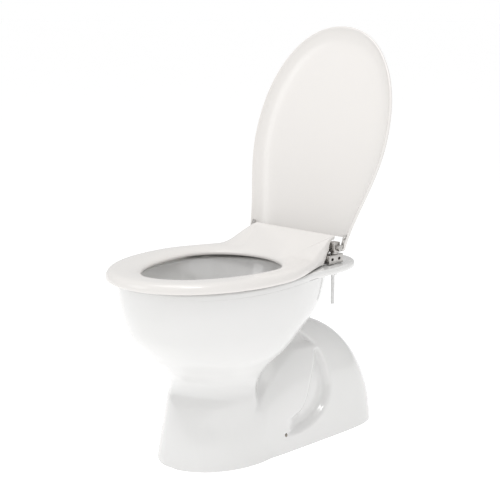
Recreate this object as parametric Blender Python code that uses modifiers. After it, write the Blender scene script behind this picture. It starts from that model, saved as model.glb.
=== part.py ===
"""Toilet pan with a hinged seat and lid: glazed china pan, plastic seat and lid,
steel hinges and plastic fixings, each as a closed solid in its own object.

Metres, +Z up, -Y is the front. The origin is on the floor, midway between the front
and the back of the whole object, on its plane of symmetry.
"""
import math

import bmesh
import bpy
from mathutils import Matrix, Vector

# Pan
RIM_Z = 0.384            # top of the rim and of the seat ledge
WALL = 0.010             # thickness of the fired clay
LEDGE_THICK = 0.014      # seat ledge behind the bowl
LEDGE_REAR = 0.231       # rear edge of the ledge
LEDGE_HALF = 0.152
LEDGE_MID = 0.052        # where the ledge's outline starts to turn in
LEDGE_FRONT = -0.020     # further forward the rim is wider than the ledge
HUMP_MID = 0.102         # rear part of the foot, which houses the trap
HUMP_HALF = 0.114
HUMP_LENGTH = 0.2220     # from its middle to its rear
HUMP_TOP = 0.257
FLOOR_EDGE = 0.003       # rounding where the foot meets the floor
POCKET_Y, POCKET_Z = 0.018, 0.125    # middle of the crescent hollow in each side of the foot
POCKET_LONG = 0.137
POCKET_BELOW, POCKET_ABOVE = 0.090, 0.140
POCKET_DEPTH = 0.016
LEAF_Y, LEAF_Z = 0.030, 0.137        # middle of the raised leaf that the hollow goes round
LEAF_LONG, LEAF_HALF = 0.125, 0.0555
LEAF_TILT = math.radians(27)
FLOOR_HOLE_Y, FLOOR_HOLE_Z = 0.009, 0.040
FLOOR_HOLE_RADIUS = 0.0040
INLET_Z = 0.322          # horn for the flush pipe
INLET_REAR = 0.201
INLET_OUTER, INLET_BORE, INLET_JET = 0.030, 0.0225, 0.013
TRAP_OUTER, TRAP_BORE = 0.047, 0.038
TRAP_END_Z = 0.008
BASIN_CLAY = 0.011       # clay round the basin
HOLLOW_TOP = 0.335       # the foot is hollow up to here
BOLT_HOLE = 0.0065

# Seat, lid and the axis they share
HINGE_Y = 0.147
HINGE_Z = 0.418
HINGE_X = 0.118          # centre of each hinge post
LID_OPEN = math.radians(108.2)
SEAT_BOTTOM = 0.387
SEAT_CREST = 0.407
HOLE_EDGE_Z = 0.3915     # the ring is thinner round its hole
SEAT_CEILING = 0.4003    # top of the hollow under the seat ring
RIDGE_LIFT = 0.0355      # the seat's back rises this far above the ring
SEAT_TIP = -0.3240
SEAT_WIDEST = -0.083
SEAT_HALF = 0.184
SEAT_BACK = 0.1585       # the raised ridge behind the ring
SEAT_BACK_HALF = 0.1155
HOLE_MID, HOLE_HALF, HOLE_FRONT, HOLE_REAR = -0.054, 0.122, 0.203, 0.103
SEAT_SCREWS = (0.076, 0.092)
BUFFERS = (("front", 0.102, -0.228, 42), ("rear", 0.147, -0.010, 100))  # place and turn
LID_BACK = -0.0047       # along the lid, measured forwards from the hinge axis
LID_TIP = 0.4755
LID_WIDEST = 0.234
LID_HALF = 0.186
LID_BACK_HALF = 0.139
LID_CORNER = 0.008
LIP, PANEL, LID_FACE = 0.0069, 0.0240, 0.0300    # heights over the hinge axis, lid closed
LID_NOTCH, LID_NOTCH_HALF = 0.0255, 0.1215       # room for the seat's back
LID_PAD = 0.0115         # flat in the lid for each bracket, over the hinge axis
LID_SCREW = 0.022
LID_PLATE = 0.0030

# Hinges and fixings
PIN_RADIUS = 0.0030
BUSH_RADIUS = 0.0046
GAP = 0.0003             # running and resting gaps between pieces
BOLT_RADIUS = 0.0040
BOLT_Y = HINGE_Y - 0.0035
BOLT_END_Z = 0.298
BRACKET_X = 0.0975       # centre of each seat bracket
BRACKET_HALF = 0.0080
BRACKET_LOW, BRACKET_TOP = 0.3863, 0.3893
BRACKET_FRONT = 0.066
LID_BRACKET_IN, LID_BRACKET_OUT = 0.1278, 0.1358
PLINTH_X = 0.0098        # half width
PLINTH_FRONT, PLINTH_REAR = 0.121, 0.165
PLINTH_LOW, PLINTH_HIGH = RIM_Z + 0.0014, 0.4045
COUNTERBORE = 0.0062     # depth of the recess for the bolt head
SLOT_Z, SLOT_RADIUS, SLOT_HALF = 0.3955, 0.0030, 0.0010
SLOTS = (BOLT_Y - 0.0129, BOLT_Y + 0.0086)
POST_HALF = 0.0090
POST_FRONT, POST_BACK = 0.0095, 0.0080   # from the hinge axis
POST_LOW, POST_HIGH = 0.4085, 0.4300
POST_CLEAR = 0.0158      # round the hinge axis, for the turning seat
PIN_IN, PIN_OUT = 0.0875, 0.1362
GRUB_RADIUS = 0.0030
SCREW_HOLE = 0.0021
SCREW_HEAD = 0.0017      # how far a screw's head stands out
CUTTER_OVER = 0.004      # how far a cutter runs past what it cuts

COLOURS = {
    "glazed_china": ((0.80, 0.80, 0.79), 0.12, 0.0),
    "seat_plastic": ((0.83, 0.81, 0.79), 0.28, 0.0),
    "fixing_nylon": ((0.82, 0.82, 0.82), 0.45, 0.0),
    "hinge_steel": ((0.62, 0.60, 0.58), 0.28, 1.0),
    "bush_plastic": ((0.75, 0.75, 0.74), 0.50, 0.0),
    "buffer_rubber": ((0.72, 0.72, 0.71), 0.75, 0.0),
}


def clear_scene():
    for item in list(bpy.data.objects):
        bpy.data.objects.remove(item, do_unlink=True)


def make_collection(name):
    group = bpy.data.collections.new(name)
    bpy.context.scene.collection.children.link(group)
    return group


def material(name):
    """Principled BSDF with the finish named in COLOURS."""
    found = bpy.data.materials.get(name)
    if found:
        return found
    colour, roughness, metallic = COLOURS[name]
    made = bpy.data.materials.new(name)
    made.use_nodes = True
    shader = made.node_tree.nodes["Principled BSDF"]
    shader.inputs["Base Color"].default_value = (*colour, 1.0)
    shader.inputs["Roughness"].default_value = roughness
    shader.inputs["Metallic"].default_value = metallic
    return made


def object_from_bmesh(mesh, name, finish, group):
    """Turn a bmesh into a smooth-shaded object in a collection."""
    bmesh.ops.recalc_face_normals(mesh, faces=mesh.faces)
    data = bpy.data.meshes.new(name)
    mesh.to_mesh(data)
    mesh.free()
    data.shade_smooth()
    data.set_sharp_from_angle(angle=math.radians(35))
    item = bpy.data.objects.new(name, data)
    if finish:
        data.materials.append(material(finish))
    group.objects.link(item)
    return item


def cutter_from_bmesh(mesh, name):
    item = object_from_bmesh(mesh, name, None, CUTTERS)
    item.hide_render = True
    item.display_type = "WIRE"
    return item


def boolean(item, tool, operation="DIFFERENCE"):
    """Boolean modifier with the exact solver."""
    cut = item.modifiers.new(tool.name, "BOOLEAN")
    cut.operation = operation
    cut.object = tool
    cut.solver = "EXACT"


def bevel(item, width, segments=2):
    edge = item.modifiers.new("edges", "BEVEL")
    edge.width = width
    edge.segments = segments
    edge.limit_method = "ANGLE"
    edge.angle_limit = math.radians(40)


def loft(rings, close_ends=True):
    """Skin a list of equally long closed rings of points into a bmesh."""
    mesh = bmesh.new()
    rows = [[mesh.verts.new(point) for point in ring] for ring in rings]
    count = len(rows[0])
    for low, high in zip(rows, rows[1:]):
        for i in range(count):
            j = (i + 1) % count
            mesh.faces.new((low[i], low[j], high[j], high[i]))
    if close_ends:
        mesh.faces.new(rows[0])
        mesh.faces.new(rows[-1])
    else:
        for i in range(count):
            j = (i + 1) % count
            mesh.faces.new((rows[-1][i], rows[-1][j], rows[0][j], rows[0][i]))
    return mesh


def cylinder(radius, start, end, segments=16, radius_end=None):
    """Closed cylinder or cone between two points."""
    start, end = Vector(start), Vector(end)
    axis = end - start
    turn = axis.to_track_quat("Z", "Y").to_matrix().to_4x4()
    mesh = bmesh.new()
    bmesh.ops.create_cone(
        mesh, cap_ends=True, segments=segments, radius1=radius,
        radius2=radius if radius_end is None else radius_end, depth=axis.length,
        matrix=Matrix.Translation((start + end) / 2) @ turn)
    return mesh


def box(low, high):
    """Closed box between two corners."""
    low, high = Vector(low), Vector(high)
    size = high - low
    mesh = bmesh.new()
    bmesh.ops.create_cube(
        mesh, size=1.0,
        matrix=Matrix.Translation((low + high) / 2) @ Matrix.Diagonal((*size, 1.0)))
    return mesh


def extruded(outline, x_low, x_high):
    """Solid with a YZ outline, drawn out along X."""
    return loft([[(x, y, z) for y, z in outline] for x in (x_low, x_high)])


def arc(centre, radius, start, end, steps):
    """Points on an arc in a plane, angles in degrees."""
    angles = [math.radians(start + (end - start) * i / steps) for i in range(steps + 1)]
    return [(centre[0] + radius * math.cos(a), centre[1] + radius * math.sin(a))
            for a in angles]


def smooth_step(value):
    value = min(max(value, 0.0), 1.0)
    return value * value * (3.0 - 2.0 * value)


def soft_max(a, b, blend):
    """Largest of two values, rounded over where they are close."""
    near = max(blend - abs(a - b), 0.0) / blend
    return max(a, b) + near * near * blend / 4.0


def oval_half(y, mid, half, front, rear, power):
    """Half width at y of an oval with unlike front and rear lengths, or less than
    nothing past its ends."""
    t = (mid - y) / front if y < mid else (y - mid) / rear
    if t >= 1.0:
        return -0.02
    return half * (1.0 - t ** power) ** (1.0 / power)


def station(table, z):
    """Smooth in-between row of a table whose first column is height."""
    if z <= table[0][0]:
        return table[0][1:]
    if z >= table[-1][0]:
        return table[-1][1:]
    k = max(i for i, row in enumerate(table) if row[0] <= z)
    low, high = table[k], table[k + 1]
    before, after = table[max(k - 1, 0)], table[min(k + 2, len(table) - 1)]
    span = high[0] - low[0]
    t = (z - low[0]) / span
    out = []
    for c in range(1, len(low)):
        slope_low = (high[c] - before[c]) / (high[0] - before[0]) * span
        slope_high = (after[c] - low[c]) / (after[0] - low[0]) * span
        out.append((2 * t ** 3 - 3 * t ** 2 + 1) * low[c] + (t ** 3 - 2 * t ** 2 + t) * slope_low
                   + (3 * t ** 2 - 2 * t ** 3) * high[c] + (t ** 3 - t ** 2) * slope_high)
    return out


# Bowl, waist and front of the foot: height, half width, front, widest place, rear
BOWL = [
    (0.000, 0.1150, -0.2155, -0.068, 0.010),
    (0.050, 0.1075, -0.2080, -0.068, 0.000),
    (0.090, 0.1005, -0.2005, -0.070, -0.012),
    (0.125, 0.0965, -0.1930, -0.072, -0.022),
    (0.152, 0.0940, -0.1850, -0.073, -0.026),
    (0.176, 0.1005, -0.1920, -0.073, -0.018),
    (0.202, 0.1180, -0.2170, -0.074, 0.004),
    (0.233, 0.1415, -0.2495, -0.077, 0.068),
    (0.268, 0.1550, -0.2760, -0.081, 0.122),
    (0.300, 0.1610, -0.2880, -0.085, 0.174),
    (0.340, 0.1655, -0.2970, -0.089, 0.194),
    (0.384, 0.1680, -0.3020, -0.091, 0.198),
]

# Inside of the bowl: height, half width, front, rear
BASIN = [
    (0.128, 0.034, -0.128, -0.036),
    (0.140, 0.054, -0.147, -0.020),
    (0.160, 0.072, -0.168, -0.004),
    (0.185, 0.096, -0.199, 0.010),
    (0.220, 0.120, -0.229, 0.034),
    (0.260, 0.139, -0.258, 0.060),
    (0.290, 0.1465, -0.2735, 0.076),
    (0.311, 0.1495, -0.2805, 0.0815),
    (0.321, 0.1485, -0.2795, 0.0805),
    (0.327, 0.1245, -0.2520, 0.0530),
    (0.378, 0.1350, -0.2660, 0.0680),
    (0.390, 0.1370, -0.2690, 0.0710),
]
BASIN_MID = 0.44         # where the basin is widest, as a part of its length from the rear
BASIN_WIDEST_Z = 0.311


def bowl_half(y, z):
    half, front, mid, rear = station(BOWL, z)
    return oval_half(y, mid, half, mid - front, rear - mid, 2.05)


def hump_size(z):
    """Half width and half length of the trap housing at a height."""
    t = min(max(z / HUMP_TOP, 0.0), 1.0)
    wide = (1.0 - t ** 2.5) ** (1 / 2.5)
    long = (1.0 - t ** 2.2) ** (1 / 2.2)
    return HUMP_HALF * wide, HUMP_LENGTH * long


def pocket_reach(y, z):
    """Place in the crescent hollow's oval: 0 in its middle, 1 on its rim, and both ways."""
    across = (y - POCKET_Y) / POCKET_LONG
    up = (z - POCKET_Z) / (POCKET_ABOVE if z > POCKET_Z else POCKET_BELOW)
    return (abs(across) ** 2.2 + abs(up) ** 2.2) ** (1 / 2.2), across, up


def leaf(y, z):
    """1 on the raised leaf inside the crescent hollow, 0 off it."""
    dy, dz = y - LEAF_Y, z - LEAF_Z
    along = (dy * math.cos(LEAF_TILT) + dz * math.sin(LEAF_TILT)) / LEAF_LONG
    across = (dz * math.cos(LEAF_TILT) - dy * math.sin(LEAF_TILT)) / LEAF_HALF
    across += 0.10 - 0.30 * smooth_step(along / 0.6)
    inside = 1.0 - abs(along) ** 1.6 - abs(across)
    return smooth_step((inside + 0.14) / 0.20)


def pocket(y, z):
    """Depth of the crescent hollow in the side of the foot."""
    reach, across, up = pocket_reach(y, z)
    deep = 0.55 + 0.45 * smooth_step((reach - 0.5) / 0.4)
    fall = smooth_step((1.0 - reach) / 0.08)
    open_side = max(smooth_step((across + 0.15) / 0.5), smooth_step((up + 0.25) / 0.30))
    return POCKET_DEPTH * deep * fall * open_side * (1.0 - leaf(y, z))


def hump_half(y, z, dent):
    """Half width of the trap housing, less the depth that dent gives."""
    if z >= HUMP_TOP:
        return -0.02
    half, length = hump_size(z)
    width = oval_half(y, HUMP_MID, half, length, length, 5.0 - 8.5 * z)
    return width - dent(y, z) if width > 0 else width


def ledge_half(y):
    if y < LEDGE_MID:
        return LEDGE_HALF if y > LEDGE_FRONT else -0.02
    return oval_half(y, LEDGE_MID, LEDGE_HALF, 1.0, LEDGE_REAR - LEDGE_MID, 4.0)


def hollow_half(y, z):
    """Half width of the hollow foot, kept clear of the crescent and its bulge."""
    def dent(y, z):
        return POCKET_DEPTH * smooth_step((1.30 - pocket_reach(y, z)[0]) / 0.25)
    return soft_max(bowl_half(y, z), hump_half(y, z, dent), 0.010)


def pan_half(y, z, ledge_inset):
    """Half width of the outside of the pan at a place and a height."""
    width = soft_max(bowl_half(y, z), hump_half(y, z, pocket), 0.010)
    if z > RIM_Z - LEDGE_THICK:
        width = soft_max(width, ledge_half(y) - ledge_inset, 0.006)
    return width


def pan_ends(z, ledge_inset=0.0):
    """Front and rear of the pan at a height."""
    _, front, _, rear = station(BOWL, z)
    if z < HUMP_TOP:
        length = hump_size(z)[1]
        front, rear = min(front, HUMP_MID - length), max(rear, HUMP_MID + length)
    if z > RIM_Z - LEDGE_THICK:
        rear = LEDGE_REAR - ledge_inset
    return front, rear


def side_ring(half_at, front, rear, z, inset, steps):
    """Closed symmetric ring of points at one height."""
    front, rear = front + inset, rear - inset
    right = []
    for i in range(steps + 1):
        y = front + (rear - front) * (1.0 - math.cos(math.pi * i / steps)) / 2.0
        width = 0.0 if i in (0, steps) else max(half_at(y) - inset, 0.0015)
        right.append((width, y))
    left = [(-x, y) for x, y in right[-2:0:-1]]
    return [(x, y, z) for x, y in right + left]


def basin_ring(z, grow, steps):
    """Ring of the inside of the bowl, made larger by grow."""
    half, front, rear = station(BASIN, z)
    mid = rear - (rear - front) * BASIN_MID
    ring = []
    for i in range(2 * steps):
        angle = math.pi * i / steps
        length = mid - front if math.cos(angle) > 0 else rear - mid
        ring.append(((half + grow) * math.sin(angle), mid - (length + grow) * math.cos(angle), z))
    return ring


def pan_outside():
    """Levels of height, inset all round and inset of the ledge alone; they are close
    where the ledge, the floor edge and the rim turn."""
    ledge = RIM_Z - LEDGE_THICK
    levels = [(0.0, FLOOR_EDGE, 0.0), (FLOOR_EDGE, 0.0, 0.0)]
    levels += [(0.018 + 0.0150 * i, 0.0, 0.0) for i in range(21)]
    levels += [(0.330, 0.0, 0.0), (0.345, 0.0, 0.0), (0.360, 0.0, 0.0),
               (ledge - 0.0002, 0.0, 0.0), (ledge + 0.0001, 0.0, 0.006),
               (ledge + 0.002, 0.0, 0.002), (ledge + 0.005, 0.0, 0.0),
               (RIM_Z - 0.006, 0.0, 0.0), (RIM_Z - 0.002, 0.0015, 0.0), (RIM_Z, 0.006, 0.0)]
    rings = []
    for z, inset, ledge_inset in levels:
        front, rear = pan_ends(z, ledge_inset)
        rings.append(side_ring(lambda y: pan_half(y, z, ledge_inset), front, rear, z, inset, 32))
    return loft(rings)


def basin_mesh(grow):
    """Inside of the bowl, or the shell of clay round it, which ends under the rim."""
    bottom = BASIN[0][0] - grow
    rings = []
    for z, part in ((bottom - 0.003, 0.55), (bottom + 0.003, 0.9)):
        ring = basin_ring(z, grow, 18)
        mid = sum(point[1] for point in ring) / len(ring)
        rings.append([(x * part, mid + (y - mid) * part, z) for x, y, z in ring])
    heights = [row[0] for row in BASIN[1:]]
    if not grow:
        return loft(rings + [basin_ring(z, 0.0, 18) for z in heights])
    rings += [basin_ring(z, grow, 18) for z in heights if z <= BASIN_WIDEST_Z]
    rings.append([(x, y, HOLLOW_TOP + 0.005) for x, y, _ in rings[-1]])
    return loft(rings)


def trap_path():
    """Centre line of the trap: out of the bowl, over the weir, down to the floor."""
    return [Vector((0, y, z)) for y, z in (
        (-0.080, 0.158), (-0.040, 0.164), (0.000, 0.182), (0.040, 0.198), (0.080, 0.196),
        (0.114, 0.172), (0.132, 0.132), (0.137, 0.085), (0.137, 0.040), (0.137, -0.004))]


def trap_tube(radius, first, last_z):
    """Round tube along the trap's centre line."""
    path = trap_path()[first:]
    path[-1].z = last_z
    rings = []
    for i, point in enumerate(path):
        ahead, behind = path[min(i + 1, len(path) - 1)], path[max(i - 1, 0)]
        along = (ahead - behind).normalized()
        if i == len(path) - 1:
            along = Vector((0, 0, -1))
        up = Vector((1, 0, 0)).cross(along)
        turns = [2 * math.pi * k / 16 for k in range(16)]
        rings.append([tuple(point + Vector((radius * math.cos(a), 0, 0)) + up * radius * math.sin(a))
                      for a in turns])
    return loft(rings)


def make_pan():
    """The pan is one fired piece: outside, hollow foot, basin, trap and flush inlet."""
    rings = []
    for z in (-0.004, 0.02, 0.06, 0.10, 0.14, 0.165, 0.19, 0.21, 0.23, 0.25, 0.28, 0.31, HOLLOW_TOP):
        front, rear = pan_ends(z)
        front += (0.020 - front) * smooth_step((z - 0.15) / 0.07)
        rings.append(side_ring(lambda y: hollow_half(y, z), front, rear, z, WALL, 18))
    hollow = cutter_from_bmesh(loft(rings), "hollow")
    for mesh, name in ((basin_mesh(BASIN_CLAY), "basin_shell"),
                       (trap_tube(TRAP_OUTER, 1, TRAP_END_Z), "trap_shell"),
                       (cylinder(INLET_OUTER, (0, 0.04, INLET_Z), (0, INLET_REAR, INLET_Z)),
                        "inlet_shell")):
        boolean(hollow, cutter_from_bmesh(mesh, name))

    pan = object_from_bmesh(pan_outside(), "pan", "glazed_china", PARTS)
    boss = cutter_from_bmesh(
        cylinder(INLET_OUTER, (0, 0.150, INLET_Z), (0, INLET_REAR, INLET_Z)), "inlet_boss")
    boolean(pan, boss, "UNION")
    tools = [
        (basin_mesh(0.0), "basin"),
        (trap_tube(TRAP_BORE, 0, -CUTTER_OVER), "trap_bore"),
        (cylinder(INLET_BORE, (0, 0.160, INLET_Z), (0, INLET_REAR + CUTTER_OVER, INLET_Z)),
         "inlet_bore"),
        (cylinder(INLET_JET, (0, 0.060, INLET_Z), (0, 0.164, INLET_Z)), "inlet_jet"),
    ]
    for side, label in ((1, "right"), (-1, "left")):
        x = side * HINGE_X
        bolt = cylinder(BOLT_HOLE, (x, BOLT_Y, RIM_Z - LEDGE_THICK - CUTTER_OVER),
                        (x, BOLT_Y, RIM_Z + CUTTER_OVER))
        fixing = cylinder(FLOOR_HOLE_RADIUS, (side * 0.085, FLOOR_HOLE_Y, FLOOR_HOLE_Z),
                          (side * 0.130, FLOOR_HOLE_Y, FLOOR_HOLE_Z), 12)
        tools += [(bolt, "bolt_hole_" + label), (fixing, "floor_hole_" + label)]
    boolean(pan, hollow)
    for mesh, name in tools:
        boolean(pan, cutter_from_bmesh(mesh, name))
    return pan


def egg_half(along, widest, tip, half, back, back_half, power, fullness):
    """Half width of a seat or lid outline: superellipse in front, easing in behind."""
    if along < widest:
        t = (widest - along) / (widest - tip)
        return half * max(1.0 - t ** power, 0.0) ** (1.0 / power)
    t = min((along - widest) / (back - widest), 1.0)
    return back_half + (half - back_half) * math.cos(math.pi / 2 * t) ** fullness


def egg_outline(widest, tip, half, back, back_half, power, fullness, corner):
    """Right half of an outline from its tip round to the middle of its straight back."""
    front_steps, side_steps, back_steps = 12, 10, 5
    points = []
    for i in range(front_steps):
        angle = math.pi / 2 * i / front_steps
        reach = math.cos(angle) ** (2.0 / power)
        points.append((half * math.sin(angle) ** (2.0 / power), widest - (widest - tip) * reach))
    for i in range(side_steps + 1):
        y = widest + (back - corner - widest) * i / side_steps
        points.append((egg_half(y, widest, tip, half, back, back_half, power, fullness), y))
    last = points[-1][0]
    points += [(last - corner * (1 - math.cos(math.radians(a))),
                back - corner * (1 - math.sin(math.radians(a)))) for a in (35, 65, 90)]
    points += [((last - corner) * (1 - i / back_steps), back) for i in range(1, back_steps + 1)]
    return points


def hole_point(x, y):
    """Point of the seat's hole in the direction of an outline point."""
    dx, dy = x, y - HOLE_MID
    length = HOLE_FRONT if dy < 0 else HOLE_REAR
    scale = 1.0 / math.hypot(dx / HOLE_HALF, dy / length)
    return dx * scale, HOLE_MID + dy * scale


def seat_lift(y):
    """How far the top has risen from the ring towards the ridge."""
    return RIDGE_LIFT * smooth_step((y - 0.050) / (SEAT_BACK - 0.050)) ** 1.15


def seat_back_limit(z):
    """The ridge leans back over the hinges: furthest back that the seat is at z."""
    if z < 0.415:
        return 0.109 + (z - SEAT_BOTTOM) * 0.90
    if z < 0.432:
        return 0.1347 + (z - 0.415) * 0.64
    return min(0.1456 + (z - 0.432) * 1.35, SEAT_BACK)


def seat_section(outer, step_in):
    """Closed cross-section through the ring between the outline and the hole."""
    inner = hole_point(*outer)
    width = math.dist(outer, inner)
    way = ((inner[0] - outer[0]) / width, (inner[1] - outer[1]) / width)
    ceiling = SEAT_CEILING + (HOLE_EDGE_Z - 0.0004 - SEAT_CEILING) * step_in
    round_off = 1.0 - 0.8 * smooth_step((outer[1] - 0.060) / 0.060)
    profile = [
        (0.0015, SEAT_BOTTOM), (0.0, 0.3895), (0.0, 0.3945), (0.0030 * round_off, 0.4010),
        (0.0090 * round_off, 0.4055), (0.0180 * round_off, SEAT_CREST), (width * 0.60, 0.4064),
        (width - 0.011, 0.4035), (width - 0.003, 0.3998), (width, 0.3965), (width, 0.3930),
        (width - 0.0015, HOLE_EDGE_Z), (width - 0.0055, HOLE_EDGE_Z), (width - 0.0065, ceiling),
        (0.0065, ceiling), (0.0055, SEAT_BOTTOM),
    ]
    points = []
    for reach, z in profile:
        x, y = outer[0] + way[0] * reach, outer[1] + way[1] * reach
        rise = max(z - 0.3895, 0.0) / (SEAT_CREST - 0.3895)
        if z == ceiling:
            rise = 0.0
        z += seat_lift(y) * min(rise, 1.0)
        limit = seat_back_limit(z) - (0.006 if reach in (0.0065, 0.0055) else 0.0)
        points.append((x, min(y, limit), z))
    return points


def make_seat():
    """Ring with a hollow underside, and a raised back that leans over the hinges."""
    right = egg_outline(SEAT_WIDEST, SEAT_TIP, SEAT_HALF, SEAT_BACK, SEAT_BACK_HALF, 2.1, 1.9, 0.004)
    outline = right + [(-x, y) for x, y in right[-2:0:-1]]
    rings = []
    for outer in outline:
        solid = smooth_step((outer[1] - 0.020) / 0.020)
        rings.append(seat_section(outer, solid))
    seat = object_from_bmesh(loft(rings, close_ends=False), "seat", "seat_plastic", PARTS)
    for side, label in ((1, "right"), (-1, "left")):
        near, far = side * (HINGE_X - PLINTH_X - 0.0008), side * (HINGE_X + PLINTH_X + 0.0007)
        bracket = side * BRACKET_X
        tools = [cylinder(POST_CLEAR, (near, HINGE_Y, HINGE_Z), (far, HINGE_Y, HINGE_Z), 32),
                 box((min(near, far), PLINTH_FRONT - 0.001, RIM_Z - CUTTER_OVER),
                     (max(near, far), HINGE_Y + 0.003, PLINTH_HIGH + 0.0007)),
                 box((bracket - BRACKET_HALF - 0.0004, BRACKET_FRONT - 0.0005, RIM_Z),
                     (bracket + BRACKET_HALF + 0.0004, 0.130, BRACKET_TOP + GAP))]
        for place in SEAT_SCREWS:
            tools.append(cylinder(SCREW_HOLE, (bracket, place, SEAT_BOTTOM),
                                  (bracket, place, BRACKET_TOP + 0.009), 12))
        for i, mesh in enumerate(tools):
            boolean(seat, cutter_from_bmesh(mesh, "seat_cut_%s_%d" % (label, i)))
    return seat


def make_seat_bracket(side, label):
    """Arm from the pin to a plate under the seat's back."""
    boss = 0.0075
    outline = arc((HINGE_Y, HINGE_Z), boss, -60, 125, 12)
    outline += [(0.1310, 0.3990), (0.1230, BRACKET_TOP), (BRACKET_FRONT, BRACKET_TOP),
                (BRACKET_FRONT, BRACKET_LOW), (0.1225, BRACKET_LOW), (0.1275, 0.3903)]
    low, high = side * (BRACKET_X - BRACKET_HALF), side * (BRACKET_X + BRACKET_HALF)
    item = object_from_bmesh(extruded(outline, low, high), "seat_bracket_" + label,
                             "hinge_steel", PARTS)
    bore = cylinder(BUSH_RADIUS + GAP, (low - side * CUTTER_OVER, HINGE_Y, HINGE_Z),
                    (high + side * CUTTER_OVER, HINGE_Y, HINGE_Z))
    boolean(item, cutter_from_bmesh(bore, "seat_bracket_bore_" + label))
    for place in SEAT_SCREWS:
        hole = cylinder(SCREW_HOLE, (side * BRACKET_X, place, BRACKET_LOW - 0.002),
                        (side * BRACKET_X, place, BRACKET_TOP + 0.002), 12)
        boolean(item, cutter_from_bmesh(hole, "seat_bracket_hole_%s_%d" % (label, place * 1000)))
    return item


def make_screw(name, head, tip, head_height=0.0014):
    """Pan-head screw with a cross slot, from the top of its head to its tip."""
    head, tip = Vector(head), Vector(tip)
    way = (tip - head).normalized()
    across = way.orthogonal().normalized()
    turn = Matrix((across, way.cross(across), way)).transposed().to_4x4()
    rows = [(0.0022, 0.0), (0.0032, 0.0005), (0.0034, head_height), (0.0018, head_height),
            (0.0018, (tip - head).length - 0.0015), (0.0006, (tip - head).length)]
    rings = [[(r * math.cos(2 * math.pi * k / 12), r * math.sin(2 * math.pi * k / 12), d)
              for k in range(12)] for r, d in rows]
    mesh = loft(rings)
    mesh.transform(Matrix.Translation(head) @ turn)
    return object_from_bmesh(mesh, name, "hinge_steel", PARTS)


def make_bush(name, low, high):
    """Plastic sleeve on the pin."""
    rings = []
    for x, radius in ((low, PIN_RADIUS + GAP), (low, BUSH_RADIUS), (high, BUSH_RADIUS),
                      (high, PIN_RADIUS + GAP)):
        rings.append([(x, HINGE_Y + radius * math.cos(2 * math.pi * k / 16),
                       HINGE_Z + radius * math.sin(2 * math.pi * k / 16)) for k in range(16)])
    return object_from_bmesh(loft(rings, close_ends=False), name, "bush_plastic", PARTS)


def make_plinth(side, label):
    """Foot of the hinge: a block with two oval slots and a counterbore for the bolt."""
    x, y = side * HINGE_X, BOLT_Y
    item = object_from_bmesh(
        box((x - PLINTH_X, PLINTH_FRONT, PLINTH_LOW), (x + PLINTH_X, PLINTH_REAR, PLINTH_HIGH)),
        "hinge_plinth_" + label, "hinge_steel", PARTS)
    bevel(item, 0.0015)
    tools = [cylinder(BOLT_RADIUS + GAP, (x, y, PLINTH_LOW - 0.002), (x, y, PLINTH_HIGH + 0.002)),
             cylinder(0.0071, (x, y, PLINTH_HIGH - COUNTERBORE), (x, y, PLINTH_HIGH + 0.002), 24)]
    for middle in SLOTS:
        slot = arc((middle + SLOT_HALF, SLOT_Z), SLOT_RADIUS, -90, 90, 6)
        slot += arc((middle - SLOT_HALF, SLOT_Z), SLOT_RADIUS, 90, 270, 6)
        tools.append(extruded(slot, x - 0.02, x + 0.02))
    for i, mesh in enumerate(tools):
        boolean(item, cutter_from_bmesh(mesh, "plinth_cut_%s_%d" % (label, i)))
    return item


def make_post(side, label):
    """Hinge block on a round neck, bored for the pin and for the grub screw."""
    x, y = side * HINGE_X, HINGE_Y
    item = object_from_bmesh(
        box((x - POST_HALF, y - POST_FRONT, POST_LOW), (x + POST_HALF, y + POST_BACK, POST_HIGH)),
        "hinge_post_" + label, "hinge_steel", PARTS)
    bevel(item, 0.0012)
    neck = cylinder(0.0072, (x, y - 0.0008, PLINTH_HIGH + GAP),
                    (x, y - 0.0008, POST_LOW + 0.003), 24)
    boolean(item, cutter_from_bmesh(neck, "post_neck_" + label), "UNION")
    pin = cylinder(PIN_RADIUS + GAP, (x - 0.015, HINGE_Y, HINGE_Z), (x + 0.015, HINGE_Y, HINGE_Z))
    boolean(item, cutter_from_bmesh(pin, "post_pin_bore_" + label))
    grub = cylinder(GRUB_RADIUS + GAP, (x, y - 0.015, HINGE_Z), (x, y - 0.001, HINGE_Z), 16)
    boolean(item, cutter_from_bmesh(grub, "post_grub_bore_" + label))
    return item


def make_grub(side, label):
    """Set screw that holds the pin, with a hexagon socket."""
    x, front = side * HINGE_X, HINGE_Y - POST_FRONT
    item = object_from_bmesh(
        cylinder(GRUB_RADIUS, (x, front + 0.0006, HINGE_Z),
                 (x, HINGE_Y - PIN_RADIUS - GAP, HINGE_Z)),
        "grub_screw_" + label, "hinge_steel", PARTS)
    socket = cylinder(0.0016, (x, front - 0.002, HINGE_Z), (x, front + 0.0036, HINGE_Z), 6)
    boolean(item, cutter_from_bmesh(socket, "grub_socket_" + label))
    return item


def make_pin(side, label):
    """Hinge pin through the seat bracket, the post and the lid bracket."""
    item = object_from_bmesh(
        cylinder(PIN_RADIUS, (side * PIN_IN, HINGE_Y, HINGE_Z), (side * PIN_OUT, HINGE_Y, HINGE_Z)),
        "hinge_pin_" + label, "hinge_steel", PARTS)
    bevel(item, 0.0004, 1)
    return item


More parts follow.
